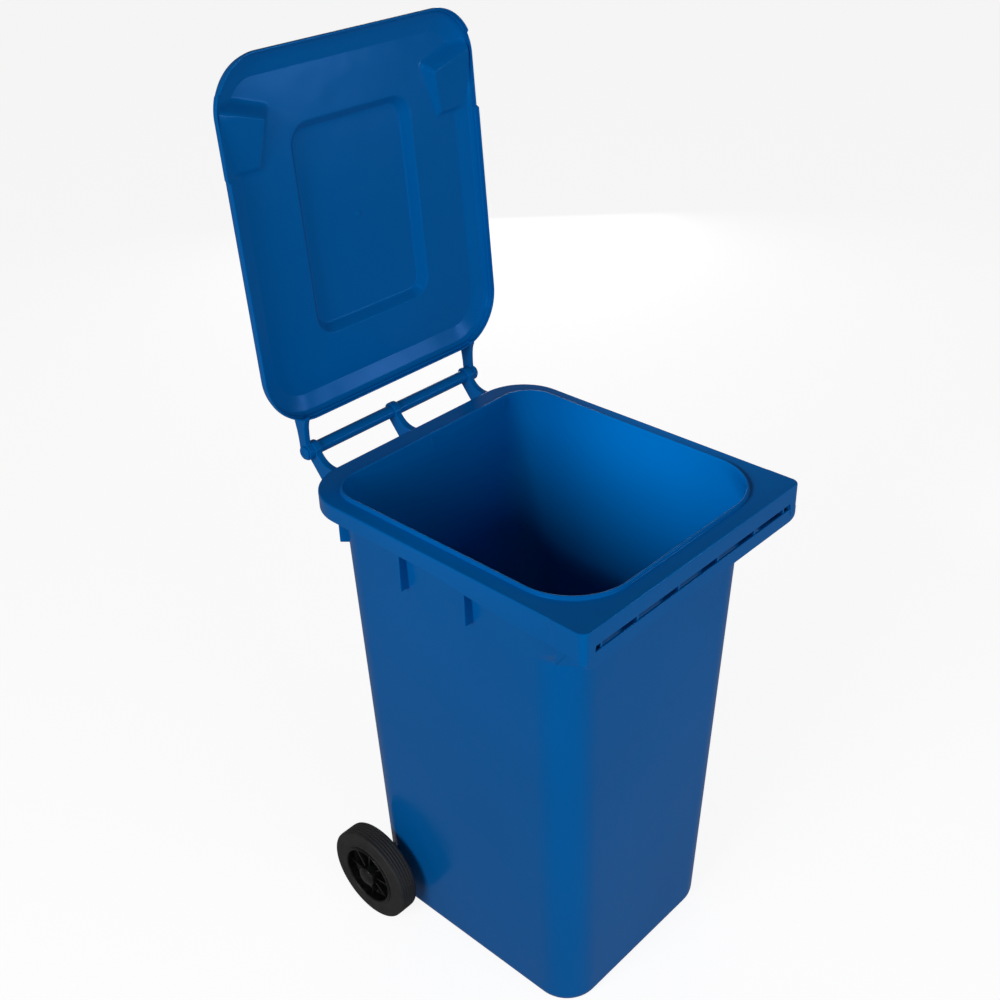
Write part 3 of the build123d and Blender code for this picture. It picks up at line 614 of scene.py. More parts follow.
def tub_mesh(sizes):
    """Tub, flange, skirt and mouth lip as one sheet: up the outside, over the rim, down inside.

    Each ring is an outline at a height, and a point of the sheet goes in straight lines from
    ring to ring, with rounded corners. Between the two rings at the tunnel's top the outline
    loses its notch, which makes the tunnel's roof, and inside it makes the step above it.
    """
    wall = sizes.wall
    under = RIM_TOP - wall
    lip = RIM_TOP + sizes.lip_height
    foot_z = RIM_TOP - COMB_WALL_FOOT
    hollow = at_height(outline(
        BASE_HALF - FOOT_RING, BASE_FRONT + FOOT_RING, TUNNEL_FRONT - FOOT_RING,
        BODY_FRONT_RADIUS - FOOT_RING / 2, wall, BODY_COUNTS, (TUNNEL_HALF, None),
    ), FLOOR_UNDER)
    ground = body_outline(0, FOOT_INSET, notch_y=TUNNEL_FRONT)
    outer_skirt = rim_outline(RIM_TOP)
    inner_skirt = rim_outline(under, wall)
    outer_bottom = at_height(outer_skirt[:, :2], skirt_bottom(outer_skirt))
    inner_bottom = at_height(inner_skirt[:, :2], outer_bottom[:, 2])
    step_top = TUNNEL_TOP + wall
    step_front = TUNNEL_FRONT - wall
    stations = [
        (hollow, 0),
        (at_height(hollow[:, :2], 0), FOOT_INNER_ROUNDING),
        (ground, FOOT_ROUNDING),
        (body_outline(FOOT_HEIGHT, notch_y=TUNNEL_FRONT), BASE_ROUNDING),
        (body_outline(TUNNEL_TOP, notch_y=TUNNEL_FRONT), 0),
        (body_outline(TUNNEL_TOP), 0),
        (body_outline(foot_z - COMB_WALL_BEND), COMB_WALL_ROUNDING[0]),
        (comb_wall(foot_z), COMB_WALL_ROUNDING[1]),
        (mouth_outline(under, wall), SKIRT_ROOT_ROUNDING),
        (inner_skirt, SKIRT_ROOT_ROUNDING),
        (inner_bottom, SKIRT_EDGE_ROUNDING),
        (outer_bottom, SKIRT_EDGE_ROUNDING),
        (outer_skirt, sizes.rim_rounding),
        (mouth_outline(RIM_TOP, wall), LIP_ROOT_ROUNDING),
        (mouth_outline(lip, wall), LIP_ROUNDING),
        (mouth_outline(lip), LIP_ROUNDING),
        (mouth_outline(under), THROAT_ROUNDING),
        (comb_wall(foot_z, wall), COMB_WALL_INNER_ROUNDING[0]),
        (body_outline(foot_z - COMB_WALL_BEND, wall), COMB_WALL_INNER_ROUNDING[1]),
        (body_outline(step_top, wall), STEP_ROUNDING[0]),
        (body_outline(step_top, wall, rear=step_front + wall), STEP_ROUNDING[1]),
        (body_outline(FLOOR_TOP, wall, rear=step_front + wall), FLOOR_ROUNDING),
        (body_outline(FLOOR_TOP, wall * FLOOR_RING_WALLS, rear=step_front + wall), 0),
    ]
    rings, cuts = zip(*stations)
    return sheet_mesh("bin_tub", rounded(rings, cuts))


def comb_meshes():
    """Lower bar of the comb rim, with round-cornered ends, and the ribs behind it."""
    half = RIM_HALF - BAR_END
    bottom, top = RIM_TOP - BAR_DROP, RIM_TOP - SLOT_DROP
    flat = soft_polygon(
        [(-half, bottom), (half, bottom), (half, top), (-half, top)],
        (BAR_END_RADIUS, BAR_END_RADIUS, BAR_CORNER, BAR_CORNER),
    )
    bar_y = RIM_FRONT + BAR_SET_BACK
    meshes = [plate_mesh("comb_bar", flat, bar_y, bar_y + BAR_WALL, BAR_EDGE, ALONG_Y)]
    rib_y = bar_y + BAR_WALL - SKIN_BITE
    outermost = half - COMB_RIB_SIDE
    places = np.append(np.linspace(-outermost, outermost, COMB_RIBS), (-COMB_END_RIB, COMB_END_RIB))
    for x in places.tolist():
        wall_y = wall_behind_comb(abs(x))
        taper = COMB_END_RIB_TAPER if abs(x) == COMB_END_RIB else COMB_RIB_TAPER
        rib = soft_polygon(
            [
                (rib_y, bottom + COMB_RIB_LIFT),
                (wall_y, bottom - taper * (wall_y - RIM_FRONT) / (BASE_FRONT - RIM_FRONT)),
                (wall_y, bottom),
                (MOUTH_FRONT - SKIN_BITE, RIB_TOP),
                (rib_y, RIB_TOP),
            ],
            RIB_CORNER,
        )
        meshes.append(side_plate("comb_rib", rib, (x - RIB / 2, x + RIB / 2), COMB_RIB_EDGE))
    return meshes


def wall_behind_comb(x):
    """Where the front wall's skin lies at half width x below the rim, round its corner as well."""
    past = min(max(x - (BASE_HALF + LEAN_SIDE - COMB_WALL_RADIUS), 0), COMB_WALL_RADIUS)
    corner = COMB_WALL_RADIUS - np.sqrt(COMB_WALL_RADIUS ** 2 - past ** 2)
    return min(MOUTH_FRONT - SKIN_BITE + corner, BASE_FRONT)


def rib_meshes():
    """Ribs under the skirt: two on each side, and one at each rear corner."""
    meshes = []
    wall_x = BASE_HALF + LEAN_SIDE
    low = RIM_TOP - SKIRT_RIB_DROP
    for side in SIDES.values():
        tip = side * (wall_x + SKIRT_RIB_REACH)
        foot = side * (BASE_HALF + LEAN_SIDE * low / RIM_TOP - SKIN_BITE)
        root = side * (BASE_HALF + LEAN_SIDE * SHELL_TOP / RIM_TOP - SKIN_BITE)
        for y in SIDE_RIB_PLACES:
            flat = soft_polygon(
                [
                    (foot, low),
                    (tip, low + RIB_CORNER),
                    (tip, RIB_TOP),
                    (side * (MOUTH_HALF + SKIN_BITE), RIB_TOP),
                    (root, SHELL_TOP),
                ],
                (RIB_CORNER, SKIRT_RIB_TIP, RIB_CORNER, RIB_CORNER, RIB_CORNER),
            )
            meshes.append(plate_mesh("skirt_rib", flat, y - RIB / 2, y + RIB / 2, RIB_EDGE, ALONG_Y))
        reach = BODY_REAR_RADIUS + SKIRT_RIB_REACH
        flat = soft_polygon(
            [
                (reach - CORNER_RIB_FOOT, RIM_TOP - CORNER_RIB_DROP),
                (reach, RIM_TOP - CORNER_RIB_DROP + RIB_CORNER),
                (reach, RIB_TOP),
                (reach - CORNER_RIB_HEAD, RIB_TOP),
            ],
            CORNER_RIB_CORNER,
        )
        corner = plate_mesh("corner_rib", flat, -RIB / 2, RIB / 2, RIB_EDGE, ALONG_X)
        place = Matrix.Translation((side * (wall_x - BODY_REAR_RADIUS), REAR_WALL - BODY_REAR_RADIUS, 0))
        corner.transform(place @ Matrix.Rotation(-side * pi / 4, 4, "Z"))
        meshes.append(corner)
    return meshes


def lug_meshes():
    """Three lugs: an eye, a straight lower edge down to the rear wall and a hollow upper one."""
    wall_y = REAR_WALL - SKIN_BITE
    round_eye = arc((HINGE_Y, HINGE_Z), LUG_RADIUS, *LUG_EYE_TURN, LUG_EYE_STEPS)
    last_y, last_z = round_eye[-1]
    lower = np.array([
        (RIM_REAR, last_z - (last_y - RIM_REAR) * np.tan(LUG_SLOPE)),
        (wall_y, RIM_TOP - LUG_DROP),
        (wall_y, RIB_TOP),
        (RIM_REAR - LUG_HOLLOW_START, RIB_TOP),
    ])
    pull = (RIM_REAR + LUG_HOLLOW_PULL[0], RIM_TOP + LUG_HOLLOW_PULL[1])
    hollow = curve(lower[-1], pull, round_eye[0], CURVE_STEPS + 2)[1:-1]
    flat = np.concatenate([round_eye, lower, hollow])
    meshes = [side_plate("lug", flat, span, LUG_EDGE) for span in LUG_SPANS]
    boss_radius = LUG_RADIUS - LUG_BOSS_STEP
    for low, high in LUG_SPANS:
        start, end = low - LUG_BOSS_PROUD, high + LUG_BOSS_PROUD
        boss = soft_polygon(
            [(start, HANDLE_RADIUS), (end, HANDLE_RADIUS), (end, boss_radius), (start, boss_radius)],
            HANDLE_ROUNDING,
        )
        meshes.append(turned_mesh("lug_boss", boss, HINGE_Y, HINGE_Z, THIN_TURN))
    return meshes


def underside_meshes():
    """Cross ribs under the floor, two webs in the axle tunnel and the two axle bosses."""
    top = FLOOR_UNDER + SKIN_BITE
    front, rear = BASE_FRONT + FOOT_RING / 2, TUNNEL_FRONT
    half = BASE_HALF - FOOT_RING / 2
    long_rib = soft_polygon([(front, 0), (rear, 0), (rear, top), (front, top)], RIB_CORNER)
    cross_rib = soft_polygon([(-half, 0), (half, 0), (half, top), (-half, top)], RIB_CORNER)
    meshes = [
        side_plate("base_rib", long_rib, (-BASE_RIB / 2, BASE_RIB / 2), RIB_EDGE),
        plate_mesh("base_rib", cross_rib, -BASE_RIB / 2, BASE_RIB / 2, RIB_EDGE, ALONG_Y),
    ]
    web_front, web_rear = TUNNEL_FRONT - SKIN_BITE, REAR_WALL - WEB_SET_IN
    web_top = TUNNEL_TOP + SKIN_BITE
    web = soft_polygon(
        [(web_front, 0), (web_rear, 0), (web_rear, web_top), (web_front, web_top)], WEB_CORNERS
    )
    for x in (-WEB_PLACE, WEB_PLACE):
        meshes.append(side_plate("axle_web", web, (x - RIB / 2, x + RIB / 2), RIB_EDGE))
    boss = soft_polygon([(BASE_HALF + x, radius) for x, radius in AXLE_BOSS], AXLE_BOSS_ROUNDING)
    for side in SIDES.values():
        meshes.append(turned_mesh("axle_boss", boss, AXLE_Y, AXLE_Z, BOSS_TURN, side))
    return meshes


# ---- lid ----------------------------------------------------------------------------------
def lid_outline(inset):
    """The lid's outline in its closed frame, moved in by inset."""
    return outline(
        LID_HALF - inset, LID_FRONT + inset, LID_REAR - inset,
        LID_FRONT_RADIUS - inset, LID_REAR_RADIUS - inset, LID_COUNTS,
    )


def panel_outline(inset):
    """Outline of the raised middle panel, moved in by inset."""
    return outline(
        PANEL_HALF - inset, PANEL_FRONT + inset, PANEL_REAR - inset,
        PANEL_RADIUS - inset, PANEL_RADIUS - inset, LID_COUNTS,
    )


def between(start, end, count):
    """Rings spaced evenly between two rings, without either."""
    share = np.linspace(0, 1, count + 2)[1:-1]
    return [start + (end - start) * s for s in share]


def grip_height(points):
    """Height above the lid's edge of the two hand recesses, far up outside them.

    The floor rises from front to rear. Past its slanting front edge, its slanting inner edge
    and its rear edge the wall climbs by the distance times a slope.
    """
    x, reach = np.abs(points[:, 0]), -points[:, 1]
    rear, front = GRIP_FLOOR_SPAN
    floor = GRIP_FLOOR_FRONT + (GRIP_FLOOR_REAR - GRIP_FLOOR_FRONT) * np.clip(
        (front - reach) / (front - rear), 0, 1
    )
    past_front = (reach - (GRIP_FRONT + x * GRIP_FRONT_SLANT)) * GRIP_FRONT_CLIMB
    inner_edge = GRIP_INNER[0] + (GRIP_INNER[1] - reach) * GRIP_INNER_SLANT
    past_inner = (inner_edge - x) * GRIP_INNER_CLIMB
    past_rear = (rear - reach) * GRIP_REAR_CLIMB
    return floor + np.maximum(np.maximum(past_front, past_inner), np.maximum(past_rear, 0))


def lid_sheet(rings, lift):
    """Lowers the rings of one face of the lid into the hand recesses."""
    lowered = []
    for ring in rings:
        ring = ring.copy()
        recess = grip_height(ring) + lift
        ring[:, 2] = LID_EDGE + soft_min(ring[:, 2] - LID_EDGE, recess, GRIP_SOFTNESS)
        lowered.append(ring)
    return lowered


def edge_ring(inset, height):
    """Ring at a height above the skirt's edge, raised along the two hand recesses."""
    flat = lid_outline(inset)
    reach = -flat[:, 1]
    rear, front = GRIP_SPAN
    along = ramp(reach, rear - GRIP_SPAN_FADE, rear) * ramp(-reach, -front - GRIP_SPAN_FADE, -front)
    beside = ramp(np.abs(flat[:, 0]), LID_HALF - GRIP_SIDE[0], LID_HALF - GRIP_SIDE[1])
    return at_height(flat, LID_EDGE + height + GRIP_EDGE_RISE * along * beside)


def lid_face(lift, skirt_inset):
    """Rings and cuts of one face of the lid, from the middle outwards, lift above the inner one."""
    z_flat = LID_EDGE + LID_FLAT + lift
    z_panel = z_flat + PANEL_RISE
    foot = at_height(panel_outline(0), z_flat)
    crease = at_height(lid_outline(LID_BORDER), z_flat)
    shoulder = at_height(lid_outline(skirt_inset + LID_SHOULDER_IN), LID_EDGE + LID_SHOULDER + lift)
    stations = [
        (at_height(panel_outline(PANEL_SLOPE + PANEL_TOP_RING), z_panel), 0),
        (at_height(panel_outline(PANEL_SLOPE), z_panel), PANEL_CORNER),
        (foot, PANEL_CORNER),
        *((ring, 0) for ring in between(foot, crease, BORDER_RINGS)),
        (crease, LID_CREASE),
        *((ring, 0) for ring in between(crease, shoulder, SHOULDER_RINGS)),
        (shoulder, LID_SHOULDER_CORNER),
        (at_height(lid_outline(skirt_inset), LID_EDGE + SKIRT_TOP + lift), LID_SHOULDER_CORNER),
    ]
    rings, cuts = zip(*stations)
    return lid_sheet(rings, lift), list(cuts)


def lid_shell(sizes):
    """Lid as one sheet: out across its inner face, round the skirt's edge, in over its top.

    Rings run from the middle panel to the border and the skirt; each is an outline at a height
    above the lid's edge, lowered where the hand recesses are.
    """
    thick = sizes.lid_wall
    inner, inner_cuts = lid_face(0.0, SKIRT_SET_IN + thick)
    outer, outer_cuts = lid_face(thick, SKIRT_SET_IN)
    bead = [
        edge_ring(SKIRT_SET_IN + thick, BEAD_HEIGHT + BEAD_SHIFT),
        edge_ring(thick, BEAD_HEIGHT - BEAD_SHIFT),
        edge_ring(thick, 0),
        edge_ring(0, 0),
        edge_ring(0, BEAD_HEIGHT),
        edge_ring(SKIRT_SET_IN, BEAD_HEIGHT + BEAD_STEP),
    ]
    rings = inner + bead + outer[::-1]
    cuts = inner_cuts + list(BEAD_ROUNDING) + outer_cuts[::-1]
    return sheet_mesh("lid_shell", rounded(rings, cuts, LID_CORNER_STEPS))


def lid_arms():
    """Two arms from the hinge pins on to the lid's rear border, flared where they meet it."""
    eye = arc((0, 0), ARM_RADIUS, *ARM_EYE_TURN, ARM_EYE_STEPS)
    flat = np.concatenate([
        eye,
        curve(eye[-1], *ARM_UPPER[0]),
        curve(*ARM_UPPER[1]),
        curve(*ARM_UPPER[2]),
        ARM_ROOT,
        curve(*ARM_LOWER[0]),
        curve(*ARM_LOWER[1], eye[0]),
    ])
    return [
        side_plate("lid_arm", flat, (side * ARM_SPAN[0], side * ARM_SPAN[1]), ARM_EDGE)
        for side in SIDES.values()
    ]


def gate_mark():
    """Small raised disc with a dimple on the lid's inner face, where the plastic was fed in."""
    angle = run(0, 2 * pi, GATE_TURN)
    radii, heights = np.array(GATE_RADII)[:, None], np.array(GATE_HEIGHTS)[:, None]
    rows = np.stack([
        radii * np.cos(angle),
        (PANEL_FRONT + PANEL_REAR) / 2 + radii * np.sin(angle),
        np.broadcast_to(LID_EDGE + LID_FLAT + PANEL_RISE + heights, (len(radii), len(angle))),
    ], axis=-1)
    return sheet_mesh("gate_mark", rows, tidy_normals=True)


def open_lid(mesh):
    """Moves a mesh from the lid's closed frame to where the lid is held open."""
    mesh.transform(Matrix.Translation((0, HINGE_Y, HINGE_Z)) @ Matrix.Rotation(-LID_OPEN, 4, "X"))
    return mesh


# ---- handle, pins, axle and wheels -------------------------------------------------------
def handle_mesh():
    """Tube with rounded ends, turned about the hinge line."""
    end = LUG_SPANS[-1][1]
    profile = soft_polygon(
        [(-end, HANDLE_BORE), (end, HANDLE_BORE), (end, HANDLE_RADIUS), (-end, HANDLE_RADIUS)],
        HANDLE_ROUNDING,
    )
    return turned_mesh("handle_tube", profile, HINGE_Y, HINGE_Z, THIN_TURN)


def pin_mesh(name, side):
    """Hinge pin with a domed head and a shallow dimple in its middle."""
    face = ARM_SPAN[1] + PIN_GAP
    profile = soft_profile([
        *PIN_SHANK,
        (face, PIN_RADIUS, PIN_ROUNDING[0]),
        (face, PIN_HEAD_RADIUS, PIN_ROUNDING[1]),
        *((PIN_END + x, radius, cut) for x, radius, cut in PIN_HEAD),
    ])
    return turned_mesh(name, profile, HINGE_Y, HINGE_Z, THIN_TURN, side)


def tyre_mesh(name, side, sizes):
    """Solid tyre: round shoulders, ribbed tread and a raised band on each sidewall."""
    low, high = TYRE_LOW.x, TYRE_HIGH.x
    middle, half = (low + high) / 2, (high - low) / 2
    wall = [
        (-half, TYRE_BORE, 0.001),
        (-half, TYRE_BORE + TYRE_LIP[0], 0.001),
        (-half + TYRE_HOLLOW, TYRE_BORE + TYRE_LIP[1], 0.001),
        (-half + TYRE_HOLLOW, WHEEL_RADIUS - TYRE_BAND[0], 0.002),
        (-half, WHEEL_RADIUS - TYRE_BAND[1], 0.002),
        (-half, WHEEL_RADIUS - TYRE_CROWN, sizes.tyre_shoulder),
    ]
    floor = WHEEL_RADIUS - sizes.tread_depth
    tread = []
    for place in TREAD_GROOVES:
        tread += [
            (place - GROOVE_TOP, WHEEL_RADIUS, 0.0006), (place - GROOVE_FLOOR, floor, 0.0004),
            (place + GROOVE_FLOOR, floor, 0.0004), (place + GROOVE_TOP, WHEEL_RADIUS, 0.0006),
        ]
    corners = wall + tread + [(-x, radius, cut) for x, radius, cut in wall[::-1]]
    profile = soft_profile([(middle + x, *rest) for x, *rest in corners], TYRE_CORNER_STEPS)
    return turned_mesh(name, profile, AXLE_Y, AXLE_Z, TYRE_TURN, side)


def wheel_meshes(side):
    """Moulded wheel: barrel with two bead lines, recessed disc, spokes and a long hub."""
    low, high = TYRE_LOW.x, TYRE_HIGH.x
    middle = (low + high) / 2
    lip, seat = BARREL_LIP_STEPS
    barrel = soft_polygon(
        [
            (low - BARREL_PROUD, BARREL_BORE), (high + BARREL_PROUD, BARREL_BORE),
            (high + BARREL_PROUD, BARREL_LIP), (high + lip, BARREL_LIP),
            (high - seat, BARREL_SEAT), (low + seat, BARREL_SEAT),
            (low - lip, BARREL_LIP), (low - BARREL_PROUD, BARREL_LIP),
        ],
        BARREL_ROUNDING,
    )
    disc = soft_polygon([(middle + x, radius) for x, radius in DISC_PROFILE], DISC_ROUNDING)
    inner, outer = low - HUB_ENDS[0], high + HUB_ENDS[1]
    hub = soft_polygon(
        [
            (inner, HUB_BORE), (inner, HUB_RADII[0]), (middle, HUB_RADII[1]), (outer, HUB_RADII[2]),
            (outer, CAP_SOCKET[1]), (high - CAP_SOCKET[0], CAP_SOCKET[1]), (high - CAP_SOCKET[0], HUB_BORE),
        ],
        HUB_ROUNDING,
    )
    bead = soft_polygon([(high + x, radius) for x, radius in RIM_BEAD], RIM_BEAD_ROUNDING)
    meshes = [
        turned_mesh("wheel_part", profile, AXLE_Y, AXLE_Z, WHEEL_TURN, side)
        for profile in (barrel, disc, hub, bead)
    ]
    root, tip = SPOKE_SPAN
    at_tip = SPOKE_HALF_DEPTH - SPOKE_NARROWING
    flat = soft_polygon(
        [
            (side * (middle - SPOKE_HALF_DEPTH), root), (side * (middle + SPOKE_HALF_DEPTH), root),
            (side * (middle + at_tip), tip), (side * (middle - at_tip), tip),
        ],
        SPOKE_CORNERS,
    )
    for i in range(SPOKES):
        spoke = plate_mesh("wheel_rib", flat, -SPOKE / 2, SPOKE / 2, SPOKE_EDGE, ALONG_Y)
        turn = Matrix.Rotation(2 * pi * i / SPOKES, 4, "X")
        spoke.transform(Matrix.Translation((0, AXLE_Y, AXLE_Z)) @ turn)
        meshes.append(spoke)
    return meshes


def cap_mesh(name, side):
    """Domed cap on the hub's end, with a small step round its edge."""
    seat = TYRE_HIGH.x + HUB_ENDS[1]
    profile = soft_profile([
        *((seat + x, radius, cut) for x, radius, cut in CAP_SKIRT),
        *((CAP_END + x, radius, cut) for x, radius, cut in CAP_DOME),
        *((seat + x, radius, cut) for x, radius, cut in CAP_INSIDE),
    ])
    return turned_mesh(name, profile, AXLE_Y, AXLE_Z, CAP_TURN, side)


# ---- materials -----------------------------------------------------------------------------
def add_node(tree, kind, sockets=None, **settings):
    """Adds a node with its settings; sockets maps an input to a value or to an output to link."""
    made = tree.nodes.new(kind)
    for name, value in settings.items():
        setattr(made, name, value)
    for key, value in (sockets or {}).items():
        if isinstance(value, bpy.types.NodeSocket):
            tree.links.new(value, made.inputs[key])
        else:
            made.inputs[key].default_value = value
    return made


def start_material(name):
    """New material with its shader and the Object coordinates that its patterns read."""
    material = bpy.data.materials.get(name) or bpy.data.materials.new(name)
    material.use_nodes = True
    tree = material.node_tree
    tree.nodes.clear()
    shader = add_node(tree, "ShaderNodeBsdfPrincipled")
    add_node(tree, "ShaderNodeOutputMaterial", {"Surface": shader.outputs["BSDF"]})
    coordinates = add_node(tree, "ShaderNodeTexCoord").outputs["Object"]
    return material, tree, shader, coordinates


def grain(tree, place, size, detail=2.0):
    """Noise whose features are about size metres across."""
    return add_node(
        tree, "ShaderNodeTexNoise", {"Vector": place, "Scale": 1 / size, "Detail": detail}
    ).outputs["Fac"]


def blend_colours(tree, share, first, second):
    """Mix of two colours by a share from 0 to 1."""
    mix = add_node(tree, "ShaderNodeMix", {"Factor": share}, data_type="RGBA")
    mix.inputs["A"].default_value = (*first, 1)
    mix.inputs["B"].default_value = (*second, 1)
    return mix.outputs["Result"]


def spread(tree, value, low, high, start=0.35, end=0.65):
    """Stretches the middle of a noise to the range low to high."""
    return add_node(tree, "ShaderNodeMapRange", {
        "Value": value, "From Min": start, "From Max": end, "To Min": low, "To Max": high,
    }).outputs["Result"]


def bumps(tree, layers):
    """Bump from (height, metres deep) layers, laid one on another."""
    normal = None
    for height, depth in layers:
        sockets = {"Height": height, "Distance": depth, "Strength": 1.0}
        if normal is not None:
            sockets["Normal"] = normal
        normal = add_node(tree, "ShaderNodeBump", sockets).outputs["Normal"]
    return normal


# Each finish: sizes of its patterns and depths of its bumps in metres, then its roughness.
BLUE_CLOUD = 0.30             # slow change of shade between early and late parts of the flow
BLUE_WAVE = 0.075             # sink waves where thick and thin walls cooled at different rates
BLUE_WAVE_DEPTH = 0.0011
BLUE_GRAIN = 0.0022           # spark-eroded grain, drawn coarser than real so that it shows
BLUE_GRAIN_DEPTH = 0.00003
BLUE_IOR = 1.50
BLUE_SPECULAR = 0.24
BLUE_ROUGHNESS = (0.18, 0.23)
BLUE_ROUGHNESS_GRAIN = 0.03
RUBBER_PIT = 0.0016
RUBBER_PIT_DEPTH = 0.00012
RUBBER_DUST = 0.022
RUBBER_DUST_MOST = 0.8
RUBBER_IOR = 1.52
RUBBER_ROUGHNESS = (0.55, 0.78)
BLACK_SCUFF = 0.009
BLACK_SCUFF_RANGE = (0.5, 0.7)
BLACK_GRAIN = 0.0018
BLACK_GRAIN_DEPTH = 0.00004
BLACK_IOR = 1.49
BLACK_ROUGHNESS = (0.30, 0.46)
ZINC_LINE = 0.0012
ZINC_LINE_STRETCH = 0.04
ZINC_LINE_DEPTH = 0.00002
ZINC_SPANGLE = 0.006
ZINC_SPANGLE_MOST = 0.5
ZINC_DULL = 0.7
ZINC_ROUGHNESS = (0.26, 0.40)


def moulded_polyethylene(colours):
    """Injection-moulded high-density polyethylene: waxy satin, colour almost even, a very fine
    spark-eroded grain and slow waves where thick and thin walls cooled at different rates."""
    material, tree, shader, place = start_material("moulded_polyethylene_blue")
    clouds = grain(tree, place, BLUE_CLOUD, 1)
    texture = grain(tree, place, BLUE_GRAIN, 3)
    waves = grain(tree, place, BLUE_WAVE, 1)
    shader.inputs["IOR"].default_value = BLUE_IOR
    shader.inputs["Specular IOR Level"].default_value = BLUE_SPECULAR
    shader.inputs["Specular Tint"].default_value = (*colours.sheen, 1)
    tree.links.new(
        blend_colours(tree, spread(tree, clouds, 0, 1, 0.2, 0.8), colours.blue, colours.blue_deep),
        shader.inputs["Base Color"],
    )
    rough = add_node(tree, "ShaderNodeMath", {
        0: spread(tree, texture, -BLUE_ROUGHNESS_GRAIN, BLUE_ROUGHNESS_GRAIN),
        1: spread(tree, clouds, *BLUE_ROUGHNESS),
    }, operation="ADD").outputs[0]
    tree.links.new(rough, shader.inputs["Roughness"])
    relief = bumps(tree, [(waves, BLUE_WAVE_DEPTH), (texture, BLUE_GRAIN_DEPTH)])
    tree.links.new(relief, shader.inputs["Normal"])
    return material


def moulded_rubber(colours):
    """Black vulcanised rubber: dull, a little grey with dust in its hollows, finely pitted."""
    material, tree, shader, place = start_material("vulcanised_rubber_black")
    pits = grain(tree, place, RUBBER_PIT, 4)
    dust = grain(tree, place, RUBBER_DUST, 4)
    shader.inputs["IOR"].default_value = RUBBER_IOR
    tree.links.new(
        blend_colours(tree, spread(tree, dust, 0, RUBBER_DUST_MOST), colours.rubber, colours.rubber_dust),
        shader.inputs["Base Color"],
    )
    tree.links.new(spread(tree, dust, *RUBBER_ROUGHNESS), shader.inputs["Roughness"])
    tree.links.new(bumps(tree, [(pits, RUBBER_PIT_DEPTH)]), shader.inputs["Normal"])
    return material


def moulded_polypropylene(colours):
    """Black moulded polypropylene: satin, with faint scuffs that show a little lighter."""
    material, tree, shader, place = start_material("moulded_polypropylene_black")
    scuffs = grain(tree, place, BLACK_SCUFF, 5)
    texture = grain(tree, place, BLACK_GRAIN, 2)
    worn = spread(tree, scuffs, 0, 1, *BLACK_SCUFF_RANGE)
    shader.inputs["IOR"].default_value = BLACK_IOR
    tree.links.new(blend_colours(tree, worn, colours.black, colours.black_worn), shader.inputs["Base Color"])
    tree.links.new(spread(tree, scuffs, *BLACK_ROUGHNESS), shader.inputs["Roughness"])
    tree.links.new(bumps(tree, [(texture, BLACK_GRAIN_DEPTH)]), shader.inputs["Normal"])
    return material


def zinc_plated_steel(colours):
    """Bright zinc plate on drawn steel: grey metal with fine lines along the bar."""
    material, tree, shader, place = start_material("zinc_plated_steel")
    stretch = (ZINC_LINE_STRETCH, 1, 1)
    along = add_node(tree, "ShaderNodeMapping", {"Vector": place, "Scale": stretch}).outputs[0]
    lines = grain(tree, along, ZINC_LINE, 3)
    spangle = spread(tree, grain(tree, place, ZINC_SPANGLE, 2), 0, ZINC_SPANGLE_MOST)
    dull = tuple(part * ZINC_DULL for part in colours.zinc)
    shader.inputs["Metallic"].default_value = 1.0
    tree.links.new(blend_colours(tree, spangle, colours.zinc, dull), shader.inputs["Base Color"])
    tree.links.new(spread(tree, lines, *ZINC_ROUGHNESS), shader.inputs["Roughness"])
    tree.links.new(bumps(tree, [(lines, ZINC_LINE_DEPTH)]), shader.inputs["Normal"])
    return material


MAKERS = {
    "body_plastic": moulded_polyethylene,
    "lid_plastic": moulded_polyethylene,
    "tyre_rubber": moulded_rubber,
    "wheel_plastic": moulded_polypropylene,
    "steel": zinc_plated_steel,
}
MADE = {}


def finish_for(slot, scene):
    """The material of a slot, made the first time it is asked for."""
    maker = MAKERS[slot]
    if maker not in MADE:
        MADE[maker] = maker(scene.wheelie_bin_colours)
    return MADE[maker]


# ---- sizes and colours that a user would change ---------------------------------------------
def length(name, description, default):
    """A length property in metres."""
    return bpy.props.FloatProperty(
        name=name, description=description, default=default, min=0.0, precision=4, unit="LENGTH"
    )


def colour(name, description, hex_colour):
    """A colour property from its sRGB hex value."""
    return bpy.props.FloatVectorProperty(
        name=name, description=description, default=linear(hex_colour), subtype="COLOR",
        min=0.0, max=1.0,
    )


class WheelieBinSizes(bpy.types.PropertyGroup):
    """Sizes of the visible shells."""

    wall: length("Wall", "Thickness of the body's walls", 0.004)
    lip_height: length("Lip height", "Height of the lip round the mouth above the rim", 0.007)
    rim_rounding: length("Rim rounding", "Rounding of the rim's outer top edge", 0.0035)
    lid_wall: length("Lid wall", "Thickness of the lid", 0.003)
    tyre_shoulder: length("Tyre shoulder", "Rounding of the tyre's shoulders", 0.010)
    tread_depth: length("Tread depth", "Depth of the grooves round the tread", 0.0012)


class WheelieBinColours(bpy.types.PropertyGroup):
    """Colours of the finishes."""

    blue: colour("Blue", "Body and lid", BLUE_HEX)
    blue_deep: colour("Deep blue", "Slow clouds in the body and lid", BLUE_DEEP_HEX)
    sheen: colour("Sheen", "Tint of what the blue plastic mirrors", SHEEN_HEX)
    rubber: colour("Rubber", "Tyres", RUBBER_HEX)
    rubber_dust: colour("Rubber dust", "Grey bloom on the tyres", RUBBER_DUST_HEX)
    black: colour("Black", "Wheels, caps and spacers", BLACK_HEX)
    black_worn: colour("Worn black", "Scuffs on the wheels", BLACK_WORN_HEX)
    zinc: colour("Zinc", "Axle, washers and push nuts", ZINC_HEX)


